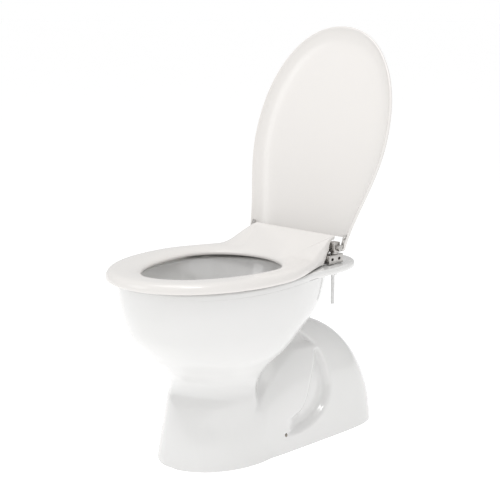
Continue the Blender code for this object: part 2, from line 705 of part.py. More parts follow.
def turned(name, x, y, profile, finish, segments=16):
    """Turned piece: a closed profile of radius and height, made with Screw."""
    data = bpy.data.meshes.new(name)
    mesh = bmesh.new()
    verts = [mesh.verts.new((radius, 0, z)) for radius, z in profile]
    ends_on_axis = profile[0][0] == 0.0
    for a, b in zip(verts, verts[1:]):
        mesh.edges.new((a, b))
    if not ends_on_axis:
        mesh.edges.new((verts[-1], verts[0]))
    mesh.to_mesh(data)
    mesh.free()
    item = bpy.data.objects.new(name, data)
    item.location = (x, y, 0)
    data.materials.append(material(finish))
    PARTS.objects.link(item)
    turn = item.modifiers.new("turn", "SCREW")
    turn.angle = 2 * math.pi
    turn.steps = turn.render_steps = segments
    turn.use_merge_vertices = True
    turn.merge_threshold = 0.0001
    turn.use_smooth_shade = True
    return item


def make_fixings(side, label):
    """Bolt through the ledge, with its gasket above and its washer and nut below."""
    x, y = side * HINGE_X, BOLT_Y
    under = RIM_Z - LEDGE_THICK
    seat_z = PLINTH_HIGH - COUNTERBORE + GAP
    turned("fixing_bolt_" + label, x, y,
           [(0.0, PLINTH_HIGH - 0.0016), (0.0062, PLINTH_HIGH - 0.0022), (0.0066, seat_z),
            (BOLT_RADIUS, seat_z), (BOLT_RADIUS, BOLT_END_Z + 0.0015), (0.0028, BOLT_END_Z),
            (0.0, BOLT_END_Z)], "fixing_nylon")
    turned("plinth_gasket_" + label, x, y,
           [(0.0112, PLINTH_LOW - GAP), (0.0112, RIM_Z + GAP), (BOLT_RADIUS + GAP, RIM_Z + GAP),
            (BOLT_RADIUS + GAP, PLINTH_LOW - GAP)], "buffer_rubber")
    turned("nut_washer_" + label, x, y,
           [(0.0110, under - 2 * GAP), (0.0110, under - 0.0020), (BOLT_RADIUS + GAP, under - 0.0020),
            (BOLT_RADIUS + GAP, under - 2 * GAP)], "fixing_nylon")
    turned("fixing_nut_" + label, x, y,
           [(0.0090, under - 0.0023), (0.0095, under - 0.0040), (0.0078, under - 0.0090),
            (BOLT_RADIUS + GAP, under - 0.0095), (BOLT_RADIUS + GAP, under - 0.0023)],
           "fixing_nylon", 12)


def make_buffer(name, x, y, turn):
    """Rubber pad under the seat ring, which rests on the rim."""
    mesh = box((-0.0130, -0.0055, RIM_Z + GAP), (0.0130, 0.0055, SEAT_CEILING - GAP))
    mesh.transform(Matrix.Rotation(math.radians(turn), 4, "Z"))
    mesh.transform(Matrix.Translation((x, y, 0)))
    item = object_from_bmesh(mesh, name, "buffer_rubber", PARTS)
    bevel(item, 0.0015)
    return item


def lid_ring(inset, height):
    """Closed outline of the lid moved inwards, at a height over the hinge axis."""
    right = egg_outline(-LID_WIDEST, -LID_TIP + inset, LID_HALF - inset, -LID_BACK - 0.45 * inset,
                        LID_BACK_HALF - inset, 2.12, 1.65, max(LID_CORNER - inset, 0.0008))
    outline = right + [(-x, y) for x, y in right[-2:0:-1]]
    return [(x, y, height) for x, y in outline]


def make_lid():
    """Dished lid, built closed about the hinge axis; its pivot then turns it open."""
    profile = [
        (0.0550, PANEL), (0.0340, 0.0226), (0.0220, 0.0196), (0.0140, 0.0156), (0.0085, 0.0116),
        (0.0050, 0.0082), (0.0032, LIP), (0.0012, 0.0076), (0.0, 0.0100), (0.0015, 0.0130),
        (0.0050, 0.0165), (0.0110, 0.0212), (0.0200, 0.0256), (0.0320, 0.0284),
        (0.0500, 0.0298), (0.0750, LID_FACE),
    ]
    lid = object_from_bmesh(loft([lid_ring(*place) for place in profile]), "lid",
                            "seat_plastic", PARTS)
    cuts = [box((-LID_NOTCH_HALF, -LID_NOTCH, -0.01), (LID_NOTCH_HALF, 0.02, 0.05)),
            box((-0.1272, -0.0125, -0.01), (0.1272, 0.02, 0.0158))]
    for side in (1, -1):
        x = side * (LID_BRACKET_IN + LID_BRACKET_OUT) / 2
        half = (LID_BRACKET_OUT - LID_BRACKET_IN) / 2 + 0.0006
        cuts.append(box((x - half, -0.0306, -0.01), (x + half, -LID_BACK - 0.0045, LID_PAD)))
        cuts.append(cylinder(SCREW_HOLE, (x, -LID_SCREW, LID_PAD - 0.003),
                             (x, -LID_SCREW, LID_PAD + 0.0040), 12))
    for i, mesh in enumerate(cuts):
        tool = cutter_from_bmesh(mesh, "lid_cut_%d" % i)
        tool.parent = LID_PIVOT
        boolean(lid, tool)
    lid.parent = LID_PIVOT
    return lid


def make_lid_bracket(side, label):
    """Knuckle on the pin and a plate on the lid's inner face."""
    low, high = side * LID_BRACKET_IN, side * LID_BRACKET_OUT
    top = LID_PAD - GAP
    outline = arc((0, 0), 0.0064, -180, 90, 12)
    outline += [(0.0, top), (-0.030, top), (-0.030, top - LID_PLATE), (-0.0080, top - LID_PLATE)]
    item = object_from_bmesh(extruded(outline, low, high), "lid_bracket_" + label,
                             "hinge_steel", PARTS)
    x = (low + high) / 2
    tools = [cylinder(BUSH_RADIUS + GAP, (low - side * CUTTER_OVER, 0, 0),
                      (high + side * CUTTER_OVER, 0, 0)),
             cylinder(SCREW_HOLE, (x, -LID_SCREW, top - LID_PLATE - 0.002),
                      (x, -LID_SCREW, top + 0.002), 12)]
    for i, mesh in enumerate(tools):
        tool = cutter_from_bmesh(mesh, "lid_bracket_cut_%s_%d" % (label, i))
        tool.parent = LID_PIVOT
        boolean(item, tool)
    item.parent = LID_PIVOT
    screw = make_screw("lid_screw_" + label, (x, -LID_SCREW, top - LID_PLATE - SCREW_HEAD),
                       (x, -LID_SCREW, top + 0.0028))
    screw.parent = LID_PIVOT
    return item


clear_scene()
PARTS = make_collection("toilet_pan_with_seat_and_lid")
CUTTERS = make_collection("cutters")

LID_PIVOT = bpy.data.objects.new("lid_pivot", None)
LID_PIVOT.location = (0, HINGE_Y, HINGE_Z)
LID_PIVOT.rotation_euler = (-LID_OPEN, 0, 0)
PARTS.objects.link(LID_PIVOT)
SEAT_PIVOT = bpy.data.objects.new("seat_pivot", None)
SEAT_PIVOT.location = (0, HINGE_Y, HINGE_Z)
PARTS.objects.link(SEAT_PIVOT)

make_pan()
seat_pieces = [make_seat()]
make_lid()
for side_sign, side_name in ((1, "right"), (-1, "left")):
    make_plinth(side_sign, side_name)
    make_post(side_sign, side_name)
    make_grub(side_sign, side_name)
    make_pin(side_sign, side_name)
    make_fixings(side_sign, side_name)
    seat_pieces.append(make_seat_bracket(side_sign, side_name))
    for number, place in enumerate(SEAT_SCREWS, 1):
        seat_pieces.append(make_screw(
            "seat_screw_%s_%d" % (side_name, number),
            (side_sign * BRACKET_X, place, BRACKET_LOW - SCREW_HEAD),
            (side_sign * BRACKET_X, place, BRACKET_TOP + 0.0080)))
    seat_pieces.append(make_bush("seat_bush_" + side_name,
                                 side_sign * (BRACKET_X - BRACKET_HALF + GAP),
                                 side_sign * (BRACKET_X + BRACKET_HALF - GAP)))
    for where, x_place, y_place, turn in BUFFERS:
        seat_pieces.append(make_buffer("seat_buffer_%s_%s" % (where, side_name),
                                       side_sign * x_place, y_place, side_sign * turn))
    make_lid_bracket(side_sign, side_name)
    make_bush("lid_bush_" + side_name, side_sign * (LID_BRACKET_IN + GAP),
              side_sign * (LID_BRACKET_OUT - GAP))

for piece in seat_pieces:
    piece.parent = SEAT_PIVOT
    piece.matrix_parent_inverse = Matrix.Translation((0, -HINGE_Y, -HINGE_Z))
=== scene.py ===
import math

import bmesh
import bpy
import numpy as np
from mathutils import Matrix, Vector


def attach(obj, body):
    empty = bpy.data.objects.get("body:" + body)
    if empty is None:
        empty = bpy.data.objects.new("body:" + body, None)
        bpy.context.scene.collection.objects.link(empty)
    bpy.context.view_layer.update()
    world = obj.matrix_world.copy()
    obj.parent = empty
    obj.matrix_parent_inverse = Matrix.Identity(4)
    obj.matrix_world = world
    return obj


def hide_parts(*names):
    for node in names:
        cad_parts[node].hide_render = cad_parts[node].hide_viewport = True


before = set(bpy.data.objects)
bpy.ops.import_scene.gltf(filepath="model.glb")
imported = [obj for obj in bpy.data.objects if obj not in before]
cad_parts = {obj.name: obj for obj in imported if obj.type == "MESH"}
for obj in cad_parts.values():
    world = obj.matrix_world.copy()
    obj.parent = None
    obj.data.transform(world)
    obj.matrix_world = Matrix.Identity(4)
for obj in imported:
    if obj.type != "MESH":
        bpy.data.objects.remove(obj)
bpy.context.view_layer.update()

print("frame loaded:", len(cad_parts), "CAD nodes")


# Camera, level and unshifted
cameraValues = {
    "target": (-0.0349, 0.052, 0.4043),
    "azimuth": 44.31,
    "elevation": 11.6,
    "distance": 2.777,
    "lens": 94.42,
    "sensor": 36.0,
}


def makeCamera(values):
    turn, rise = math.radians(values["azimuth"]), math.radians(values["elevation"])
    back = Vector((math.sin(turn) * math.cos(rise), -math.cos(turn) * math.cos(rise), math.sin(rise)))
    data = bpy.data.cameras.new("camera")
    data.lens, data.sensor_width = values["lens"], values["sensor"]
    data.clip_start, data.clip_end = 0.1, 60.0
    camera = bpy.data.objects.new("camera", data)
    camera.location = Vector(values["target"]) + back * values["distance"]
    camera.rotation_mode = "QUATERNION"
    camera.rotation_quaternion = (-back).to_track_quat("-Z", "Y")
    bpy.context.scene.collection.objects.link(camera)
    bpy.context.scene.camera = camera


makeCamera(cameraValues)


# Shader groups that more than one finish uses

def shaderGroup(name, inputs, outputs):
    tree = bpy.data.node_groups.new(name, "ShaderNodeTree")
    for label, value in inputs:
        socket = tree.interface.new_socket(label, in_out="INPUT", socket_type="NodeSocketFloat")
        socket.default_value = value
    for label, kind in outputs:
        tree.interface.new_socket(label, in_out="OUTPUT", socket_type="NodeSocket" + kind)
    return tree, tree.nodes.new("NodeGroupInput"), tree.nodes.new("NodeGroupOutput")


def wire(tree, *pairs):
    for source, socket in pairs:
        tree.links.new(source, socket)


def addNode(tree, kind, **settings):
    node = tree.nodes.new(kind)
    for label, value in settings.items():
        setattr(node, label, value)
    return node


def makeSoftPatches():
    # large cloudy mask, 0 to 1
    tree, given, out = shaderGroup("softPatches", [("Scale", 6.0), ("Contrast", 1.0)], [("Mask", "Float")])
    place = addNode(tree, "ShaderNodeTexCoord")
    cloud = addNode(tree, "ShaderNodeTexNoise")
    cloud.inputs["Detail"].default_value = 3.0
    centred = addNode(tree, "ShaderNodeMath", operation="SUBTRACT")
    centred.inputs[1].default_value = 0.5
    spread = addNode(tree, "ShaderNodeMath", operation="MULTIPLY_ADD", use_clamp=True)
    spread.inputs[2].default_value = 0.5
    wire(tree,
         (place.outputs["Object"], cloud.inputs["Vector"]),
         (given.outputs["Scale"], cloud.inputs["Scale"]),
         (cloud.outputs["Fac"], centred.inputs[0]),
         (centred.outputs[0], spread.inputs[0]),
         (given.outputs["Contrast"], spread.inputs[1]),
         (spread.outputs[0], out.inputs["Mask"]))
    return tree


def makeSurfaceGrain():
    # fine relief as a normal, and the same relief as a mask
    tree, given, out = shaderGroup("surfaceGrain", [("Scale", 400.0), ("Strength", 0.1), ("Depth", 0.0001),
                                                    ("Roughness", 0.5)],
                                   [("Normal", "Vector"), ("Mask", "Float")])
    place = addNode(tree, "ShaderNodeTexCoord")
    grain = addNode(tree, "ShaderNodeTexNoise")
    grain.inputs["Detail"].default_value = 4.0
    relief = addNode(tree, "ShaderNodeBump")
    wire(tree,
         (place.outputs["Object"], grain.inputs["Vector"]),
         (given.outputs["Scale"], grain.inputs["Scale"]),
         (given.outputs["Roughness"], grain.inputs["Roughness"]),
         (given.outputs["Strength"], relief.inputs["Strength"]),
         (given.outputs["Depth"], relief.inputs["Distance"]),
         (grain.outputs["Fac"], relief.inputs["Height"]),
         (relief.outputs["Normal"], out.inputs["Normal"]),
         (grain.outputs["Fac"], out.inputs["Mask"]))
    return tree


def makeHairlines():
    # long fine scratches that run along X, 0 to 1
    tree, given, out = shaderGroup("hairlines", [("Across", 900.0), ("Along", 25.0)], [("Mask", "Float")])
    place = addNode(tree, "ShaderNodeTexCoord")
    stretch = addNode(tree, "ShaderNodeCombineXYZ")
    shift = addNode(tree, "ShaderNodeVectorMath", operation="MULTIPLY")
    lines = addNode(tree, "ShaderNodeTexNoise")
    lines.inputs["Scale"].default_value = 1.0
    lines.inputs["Detail"].default_value = 2.0
    wire(tree,
         (given.outputs["Along"], stretch.inputs["X"]),
         (given.outputs["Across"], stretch.inputs["Y"]),
         (given.outputs["Across"], stretch.inputs["Z"]),
         (place.outputs["Object"], shift.inputs[0]),
         (stretch.outputs[0], shift.inputs[1]),
         (shift.outputs[0], lines.inputs["Vector"]),
         (lines.outputs["Fac"], out.inputs["Mask"]))
    return tree


softPatches = makeSoftPatches()
surfaceGrain = makeSurfaceGrain()
hairlines = makeHairlines()


# Finishes: two close colours mixed in patches, a roughness range, and a relief
finishValues = {
    "glazedChina": {
        "colours": ((0.775, 0.768, 0.762), (0.752, 0.750, 0.738)), "patches": (5.0, 2.2),
        "roughness": (0.07, 0.13), "coat": (0.7, 0.03), "grain": (55.0, 0.10, 0.0012),
    },
    "bareClay": {
        "colours": ((0.66, 0.63, 0.57), (0.56, 0.52, 0.46)), "patches": (30.0, 3.0),
        "roughness": (0.80, 0.92), "coat": None, "grain": (700.0, 0.60, 0.0006),
    },
    "seatPlastic": {
        "colours": ((0.800, 0.775, 0.750), (0.780, 0.758, 0.735)), "patches": (4.0, 1.5),
        "roughness": (0.20, 0.28), "coat": (0.25, 0.08), "grain": (320.0, 0.06, 0.0004),
    },
    "whiteNylon": {
        "colours": ((0.80, 0.80, 0.80), (0.74, 0.74, 0.73)), "patches": (60.0, 2.0),
        "roughness": (0.38, 0.52), "coat": None, "grain": (900.0, 0.20, 0.0002),
    },
    "bushPlastic": {
        "colours": ((0.74, 0.73, 0.70), (0.68, 0.67, 0.64)), "patches": (90.0, 2.0),
        "roughness": (0.42, 0.58), "coat": None, "grain": (1200.0, 0.20, 0.0002),
    },
    "paleRubber": {
        "colours": ((0.66, 0.66, 0.65), (0.58, 0.58, 0.57)), "patches": (80.0, 2.0),
        "roughness": (0.68, 0.85), "coat": None, "grain": (1500.0, 0.35, 0.0002),
    },
}


def placeGroup(tree, group, **values):
    node = addNode(tree, "ShaderNodeGroup", node_tree=group)
    for label, value in values.items():
        node.inputs[label].default_value = value
    return node


def spreadValue(tree, mask, low, high):
    node = addNode(tree, "ShaderNodeMapRange")
    node.inputs["To Min"].default_value = low
    node.inputs["To Max"].default_value = high
    tree.links.new(mask, node.inputs["Value"])
    return node.outputs["Result"]


def mixColours(tree, mask, first, second):
    node = addNode(tree, "ShaderNodeMix", data_type="RGBA")
    for socket, colour in ((node.inputs["A"], first), (node.inputs["B"], second)):
        if isinstance(colour, tuple):
            socket.default_value = (*colour, 1.0)
        else:
            tree.links.new(colour, socket)
    tree.links.new(mask, node.inputs["Factor"])
    return node.outputs["Result"]


def newMaterial(name):
    made = bpy.data.materials.new(name)
    made.use_nodes = True
    return made, made.node_tree, made.node_tree.nodes["Principled BSDF"]


def makeFinish(name, values):
    made, tree, shader = newMaterial(name)
    patches = placeGroup(tree, softPatches, Scale=values["patches"][0], Contrast=values["patches"][1])
    scale, strength, depth = values["grain"]
    grain = placeGroup(tree, surfaceGrain, Scale=scale, Strength=strength, Depth=depth)
    colour = mixColours(tree, patches.outputs["Mask"], *values["colours"])
    roughness = spreadValue(tree, grain.outputs["Mask"], *values["roughness"])
    wire(tree,
         (colour, shader.inputs["Base Color"]),
         (roughness, shader.inputs["Roughness"]),
         (grain.outputs["Normal"], shader.inputs["Normal"]))
    if values["coat"]:
        shader.inputs["Coat Weight"].default_value = values["coat"][0]
        shader.inputs["Coat Roughness"].default_value = values["coat"][1]
    return made


steelValues = {"colours": ((0.60, 0.585, 0.565), (0.47, 0.455, 0.44)), "roughness": (0.20, 0.38),
               "across": 1400.0, "along": 30.0, "relief": 0.10}


def makeSteel(values):
    made, tree, shader = newMaterial("brushedSteel")
    lines = placeGroup(tree, hairlines, Across=values["across"], Along=values["along"])
    patches = placeGroup(tree, softPatches, Scale=70.0, Contrast=2.0)
    mask = addNode(tree, "ShaderNodeMath", operation="MULTIPLY_ADD", use_clamp=True)
    mask.inputs[1].default_value = 0.5
    tree.links.new(lines.outputs["Mask"], mask.inputs[0])
    half = addNode(tree, "ShaderNodeMath", operation="MULTIPLY")
    half.inputs[1].default_value = 0.5
    wire(tree,
         (patches.outputs["Mask"], half.inputs[0]),
         (half.outputs[0], mask.inputs[2]),
         (mixColours(tree, mask.outputs[0], *values["colours"]), shader.inputs["Base Color"]),
         (spreadValue(tree, lines.outputs["Mask"], *values["roughness"]), shader.inputs["Roughness"]))
    relief = addNode(tree, "ShaderNodeBump")
    relief.inputs["Strength"].default_value = values["relief"]
    relief.inputs["Distance"].default_value = 0.0001
    tree.links.new(lines.outputs["Mask"], relief.inputs["Height"])
    tree.links.new(relief.outputs["Normal"], shader.inputs["Normal"])
    shader.inputs["Metallic"].default_value = 1.0
    return made


finish = {name: makeFinish(name, values) for name, values in finishValues.items()}
finish["brushedSteel"] = makeSteel(steelValues)
print("finishes made:", len(finish))


# Mesh helpers

def newObject(name, data, material=None):
    item = bpy.data.objects.new(name, data)
    if material:
        data.materials.append(finish[material])
    bpy.context.scene.collection.objects.link(item)
    return item


def fromBmesh(mesh, name, material=None):
    bmesh.ops.recalc_face_normals(mesh, faces=mesh.faces)
    data = bpy.data.meshes.new(name)
    mesh.to_mesh(data)
    mesh.free()
    return newObject(name, data, material)


def skin(rows, name, material=None, closeEnds=True):
    # rows of points into a closed surface; without ends the last row meets the first
    rows = np.asarray(rows, float)
    count, around = rows.shape[:2]
    index = np.arange(count * around).reshape(count, around)
    low = index[:-1] if closeEnds else index
    high = index[1:] if closeEnds else np.roll(index, -1, axis=0)
    quads = np.stack([low, np.roll(low, -1, axis=1), np.roll(high, -1, axis=1), high], axis=-1)
    faces = quads.reshape(-1, 4).tolist()
    if closeEnds:
        faces += [index[0].tolist(), index[-1].tolist()]
    data = bpy.data.meshes.new(name)
    data.from_pydata(rows.reshape(-1, 3).tolist(), [], faces)
    mesh = bmesh.new()
    mesh.from_mesh(data)
    bpy.data.meshes.remove(data)
    return fromBmesh(mesh, name, material)


def cylinderMesh(radius, start, end, segments=32):
    start, end = Vector(start), Vector(end)
    axis = end - start
    turn = axis.to_track_quat("Z", "Y").to_matrix().to_4x4()
    mesh = bmesh.new()
    bmesh.ops.create_cone(mesh, cap_ends=True, segments=segments, radius1=radius, radius2=radius,
                          depth=axis.length, matrix=Matrix.Translation((start + end) / 2) @ turn)
    return mesh


def boxMesh(low, high, rounding=0.0, segments=4):
    low, high = Vector(low), Vector(high)
    mesh = bmesh.new()
    bmesh.ops.create_cube(mesh, size=1.0, matrix=Matrix.Translation((low + high) / 2)
                          @ Matrix.Diagonal((*(high - low), 1.0)))
    if rounding:
        bmesh.ops.bevel(mesh, geom=mesh.edges[:], offset=rounding, segments=segments, profile=0.5,
                        affect="EDGES")
    return mesh


def cut(item, mesh, operation="DIFFERENCE", material=None):
    tool = mesh if isinstance(mesh, bpy.types.Object) else fromBmesh(mesh, "tool")
    if material:
        tool.data.materials.clear()
        tool.data.materials.append(finish[material])
    change = item.modifiers.new("cut", "BOOLEAN")
    change.operation, change.object, change.solver = operation, tool, "EXACT"
    change.material_mode = "TRANSFER"
    tool.hide_render = True
    return tool


def settle(item, smoothAngle=35.0):
    # modifiers into the mesh, tools away, edges shaded
    graph = bpy.context.evaluated_depsgraph_get()
    data = bpy.data.meshes.new_from_object(item.evaluated_get(graph))
    tools = [m.object for m in item.modifiers if m.type == "BOOLEAN"]
    item.modifiers.clear()
    item.data = data
    data.name = item.name
    for tool in tools:
        if tool and tool.name in bpy.data.objects:
            bpy.data.objects.remove(tool, do_unlink=True)
    data.transform(item.matrix_world)
    item.matrix_world = Matrix.Identity(4)
    data.shade_smooth()
    data.set_sharp_from_angle(angle=math.radians(smoothAngle))
    return item


def place(item, body, slot, *nodes):
    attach(item, body)
    if nodes:
        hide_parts(*nodes)
    return item


# Shape rules, on arrays of places

def smoothStep(value):
    value = np.clip(value, 0.0, 1.0)
    return value * value * (3.0 - 2.0 * value)


def softMax(a, b, blend):
    near = np.maximum(blend - np.abs(a - b), 0.0) / blend
    return np.maximum(a, b) + near * near * blend / 4.0


def ovalHalf(y, mid, half, front, rear, power):
    t = np.where(y < mid, (mid - y) / front, (y - mid) / rear)
    width = half * (1.0 - np.minimum(t, 1.0) ** power) ** (1.0 / power)
    return np.where(t >= 1.0, -0.02, width)


def stationAt(table, z):
    # smooth row between two heights of a table
    if z <= table[0][0]:
        return table[0][1:]
    if z >= table[-1][0]:
        return table[-1][1:]
    k = max(i for i, row in enumerate(table) if row[0] <= z)
    low, high = table[k], table[k + 1]
    before, after = table[max(k - 1, 0)], table[min(k + 2, len(table) - 1)]
    span = high[0] - low[0]
    t = (z - low[0]) / span
    row = []
    for c in range(1, len(low)):
        slopeLow = (high[c] - before[c]) / (high[0] - before[0]) * span
        slopeHigh = (after[c] - low[c]) / (after[0] - low[0]) * span
        row.append((2 * t ** 3 - 3 * t ** 2 + 1) * low[c] + (t ** 3 - 2 * t ** 2 + t) * slopeLow
                   + (3 * t ** 2 - 2 * t ** 3) * high[c] + (t ** 3 - t ** 2) * slopeHigh)
    return row


def evenly(points, count):
    # the same line in equal steps
    steps = np.linalg.norm(np.diff(points, axis=0), axis=1)
    along = np.concatenate([[0.0], np.cumsum(steps)])
    wanted = np.linspace(0.0, along[-1], count)
    return np.stack([np.interp(wanted, along, points[:, c]) for c in range(points.shape[1])], axis=1)


def mirrored(right, z):
    # right half of an outline, from front to rear, into a whole ring at one height
    left = right[-2:0:-1] * (-1.0, 1.0)
    ring = np.concatenate([right, left])
    return np.column_stack([ring, np.full(len(ring), z)])


def softened(points, times, closed=True):
    # corners cut evenly, so that they turn round
    for _ in range(times):
        after = np.roll(points, -1, axis=0)
        mixed = np.stack([points * 0.75 + after * 0.25, points * 0.25 + after * 0.75], axis=1)
        if closed:
            points = mixed.reshape(-1, points.shape[1])
        else:
            points = np.concatenate([points[:1], mixed[:-1].reshape(-1, points.shape[1]), points[-1:]])
    return points


# Pan
panValues = {
    "rim": 0.384, "wall": 0.010, "rimRound": 0.006, "floorRound": 0.003,
    "ledgeThick": 0.014, "ledgeRear": 0.231, "ledgeHalf": 0.152, "ledgeMid": 0.052, "ledgeFront": -0.020,
    "humpMid": 0.102, "humpHalf": 0.114, "humpLength": 0.2220, "humpTop": 0.257,
    "pocketMid": (0.018, 0.125), "pocketLong": 0.137, "pocketBelow": 0.090, "pocketAbove": 0.140,
    "pocketDepth": 0.016,
    "leafMid": (0.030, 0.137), "leafLong": 0.125, "leafHalf": 0.0555, "leafTilt": 27.0,
    "sideSteps": 190, "softening": 3,
}

# height, half width, front, widest place, rear
bowlStations = [
    (0.000, 0.1150, -0.2155, -0.068, 0.010), (0.050, 0.1075, -0.2080, -0.068, 0.000),
    (0.090, 0.1005, -0.2005, -0.070, -0.012), (0.125, 0.0965, -0.1930, -0.072, -0.022),
    (0.152, 0.0940, -0.1850, -0.073, -0.026), (0.176, 0.1005, -0.1920, -0.073, -0.018),
    (0.202, 0.1180, -0.2170, -0.074, 0.004), (0.233, 0.1415, -0.2495, -0.077, 0.068),
    (0.268, 0.1550, -0.2760, -0.081, 0.122), (0.300, 0.1610, -0.2880, -0.085, 0.174),
    (0.340, 0.1655, -0.2970, -0.089, 0.194), (0.384, 0.1680, -0.3020, -0.091, 0.198),
]

basinValues = {"bottom": 0.1255, "rounding": 0.026, "widestHeight": 0.311, "shellTop": 0.340,
               "widestPart": 0.44, "clay": 0.011, "lipInset": 0.0006}

# height, half width, front, rear of the inside
basinStations = [
    (0.128, 0.034, -0.128, -0.036), (0.140, 0.054, -0.147, -0.020), (0.160, 0.072, -0.168, -0.004),
    (0.185, 0.096, -0.199, 0.010), (0.220, 0.120, -0.229, 0.034), (0.260, 0.139, -0.258, 0.060),
    (0.290, 0.1465, -0.2735, 0.076), (0.311, 0.1495, -0.2805, 0.0815), (0.321, 0.1485, -0.2795, 0.0805),
    (0.327, 0.1245, -0.2520, 0.0530), (0.378, 0.1350, -0.2660, 0.0680),
]


def bowlHalf(y, z):
    half, front, mid, rear = stationAt(bowlStations, z)
    return ovalHalf(y, mid, half, mid - front, rear - mid, 2.05)


def humpSize(z):
    t = min(max(z / panValues["humpTop"], 0.0), 1.0)
    return (panValues["humpHalf"] * (1.0 - t ** 2.5) ** (1 / 2.5),
            panValues["humpLength"] * (1.0 - t ** 2.2) ** (1 / 2.2))


def pocketReach(y, z):
    middleY, middleZ = panValues["pocketMid"]
    across = (y - middleY) / panValues["pocketLong"]
    up = (z - middleZ) / (panValues["pocketAbove"] if z > middleZ else panValues["pocketBelow"])
    return (np.abs(across) ** 2.2 + abs(up) ** 2.2) ** (1 / 2.2), across, up


def onLeaf(y, z):
    # 1 on the raised leaf that the crescent goes round, 0 off it
    middleY, middleZ = panValues["leafMid"]
    tilt = math.radians(panValues["leafTilt"])
    dy, dz = y - middleY, z - middleZ
    along = (dy * math.cos(tilt) + dz * math.sin(tilt)) / panValues["leafLong"]
    across = (dz * math.cos(tilt) - dy * math.sin(tilt)) / panValues["leafHalf"]
    across = across + 0.10 - 0.30 * smoothStep(along / 0.6)
    inside = 1.0 - np.abs(along) ** 1.6 - np.abs(across)
    return smoothStep((inside + 0.14) / 0.20)


def pocketDent(y, z):
    # crescent groove round the leaf, in each side of the trap housing
    reach, across, up = pocketReach(y, z)
    deep = 0.55 + 0.45 * smoothStep((reach - 0.5) / 0.4)
    fall = smoothStep((1.0 - reach) / 0.08)
    openSide = np.maximum(smoothStep((across + 0.15) / 0.5), smoothStep((up + 0.25) / 0.30))
    return panValues["pocketDepth"] * deep * fall * openSide * (1.0 - onLeaf(y, z))


def clearDent(y, z):
    return panValues["pocketDepth"] * smoothStep((1.30 - pocketReach(y, z)[0]) / 0.25)


def humpHalf(y, z, dent):
    if z >= panValues["humpTop"]:
        return np.full(len(y), -0.02)
    half, length = humpSize(z)
    width = ovalHalf(y, panValues["humpMid"], half, length, length, 5.0 - 8.5 * z)
    return np.where(width > 0, width - dent(y, z), width)


def ledgeHalf(y):
    middle, half = panValues["ledgeMid"], panValues["ledgeHalf"]
    behind = ovalHalf(y, middle, half, 1.0, panValues["ledgeRear"] - middle, 4.0)
    beside = np.where(y > panValues["ledgeFront"], half, -0.02)
    return np.where(y < middle, beside, behind)


def panHalf(y, z, ledgeInset=0.0):
    width = softMax(bowlHalf(y, z), humpHalf(y, z, pocketDent), 0.010)
    if z > panValues["rim"] - panValues["ledgeThick"]:
        width = softMax(width, ledgeHalf(y) - ledgeInset, 0.006)
    return width


def panEnds(z, ledgeInset=0.0):
    _, front, _, rear = stationAt(bowlStations, z)
    if z < panValues["humpTop"]:
        length = humpSize(z)[1]
        front = min(front, panValues["humpMid"] - length)
        rear = max(rear, panValues["humpMid"] + length)
    if z > panValues["rim"] - panValues["ledgeThick"]:
        rear = panValues["ledgeRear"] - ledgeInset
    return front, rear


def outlineAt(halfAt, front, rear, z, inset, count):
    front, rear = front + inset, rear - inset
    y = front + (rear - front) * (1.0 - np.cos(np.linspace(0.0, math.pi, 900))) / 2.0
    width = np.maximum(halfAt(y, z) - inset, 0.0012)
    width[0] = width[-1] = 0.0
    return mirrored(evenly(np.column_stack([width, y]), count), z)


def panOutside():
    rim, ledge, turn = panValues["rim"], panValues["rim"] - panValues["ledgeThick"], panValues["rimRound"]
    angles = [math.radians(a) for a in (15, 30, 45, 60, 75, 90)]
    levels = [(panValues["floorRound"] * (1 - math.cos(a)), panValues["floorRound"] * (1 - math.sin(a)), 0)
              for a in [0.0] + angles]
    levels += [(z, 0.0, 0.0) for z in np.arange(0.0055, 0.2350, 0.0026)]
    closing = np.linspace(0.0, 1.0, 22) ** 2.2
    levels += [(panValues["humpTop"] - 0.0220 * share, 0.0, 0.0) for share in closing[::-1]]
    levels += [(z, 0.0, 0.0) for z in np.arange(0.2590, ledge - 0.0015, 0.0032)]
    levels += [(ledge - 0.0002, 0.0, 0.0)]
    levels += [(ledge + 0.0001 + turn * (1 - math.cos(a)), 0.0, turn * (1 - math.sin(a)))
               for a in [0.0] + angles]
    levels += [(rim - turn + turn * math.sin(a), turn * (1 - math.cos(a)), 0.0) for a in [0.0] + angles]
    rows = []
    for z, inset, ledgeInset in levels:
        front, rear = panEnds(z, ledgeInset)
        rows.append(outlineAt(lambda y, z: panHalf(y, z, ledgeInset), front, rear, z, inset,
                              panValues["sideSteps"]))
    rows = np.array(rows)
    first, last = 8, len(rows) - 18
    for _ in range(panValues["softening"]):
        around = np.roll(rows, 1, axis=1) + np.roll(rows, -1, axis=1)
        upDown = rows[first - 1:last - 1] + rows[first + 1:last + 1]
        rows[first:last] = rows[first:last] * 0.5 + (around[first:last] + upDown) * 0.125
    return skin(rows, "pan_body", "glazedChina")


def basinRing(row, grow, count=72):
    half, front, rear = row
    mid = rear - (rear - front) * basinValues["widestPart"]
    angles = np.arange(2 * count) * math.pi / count
    length = np.where(np.cos(angles) > 0, mid - front, rear - mid)
    return np.column_stack([(half + grow) * np.sin(angles), mid - (length + grow) * np.cos(angles)])


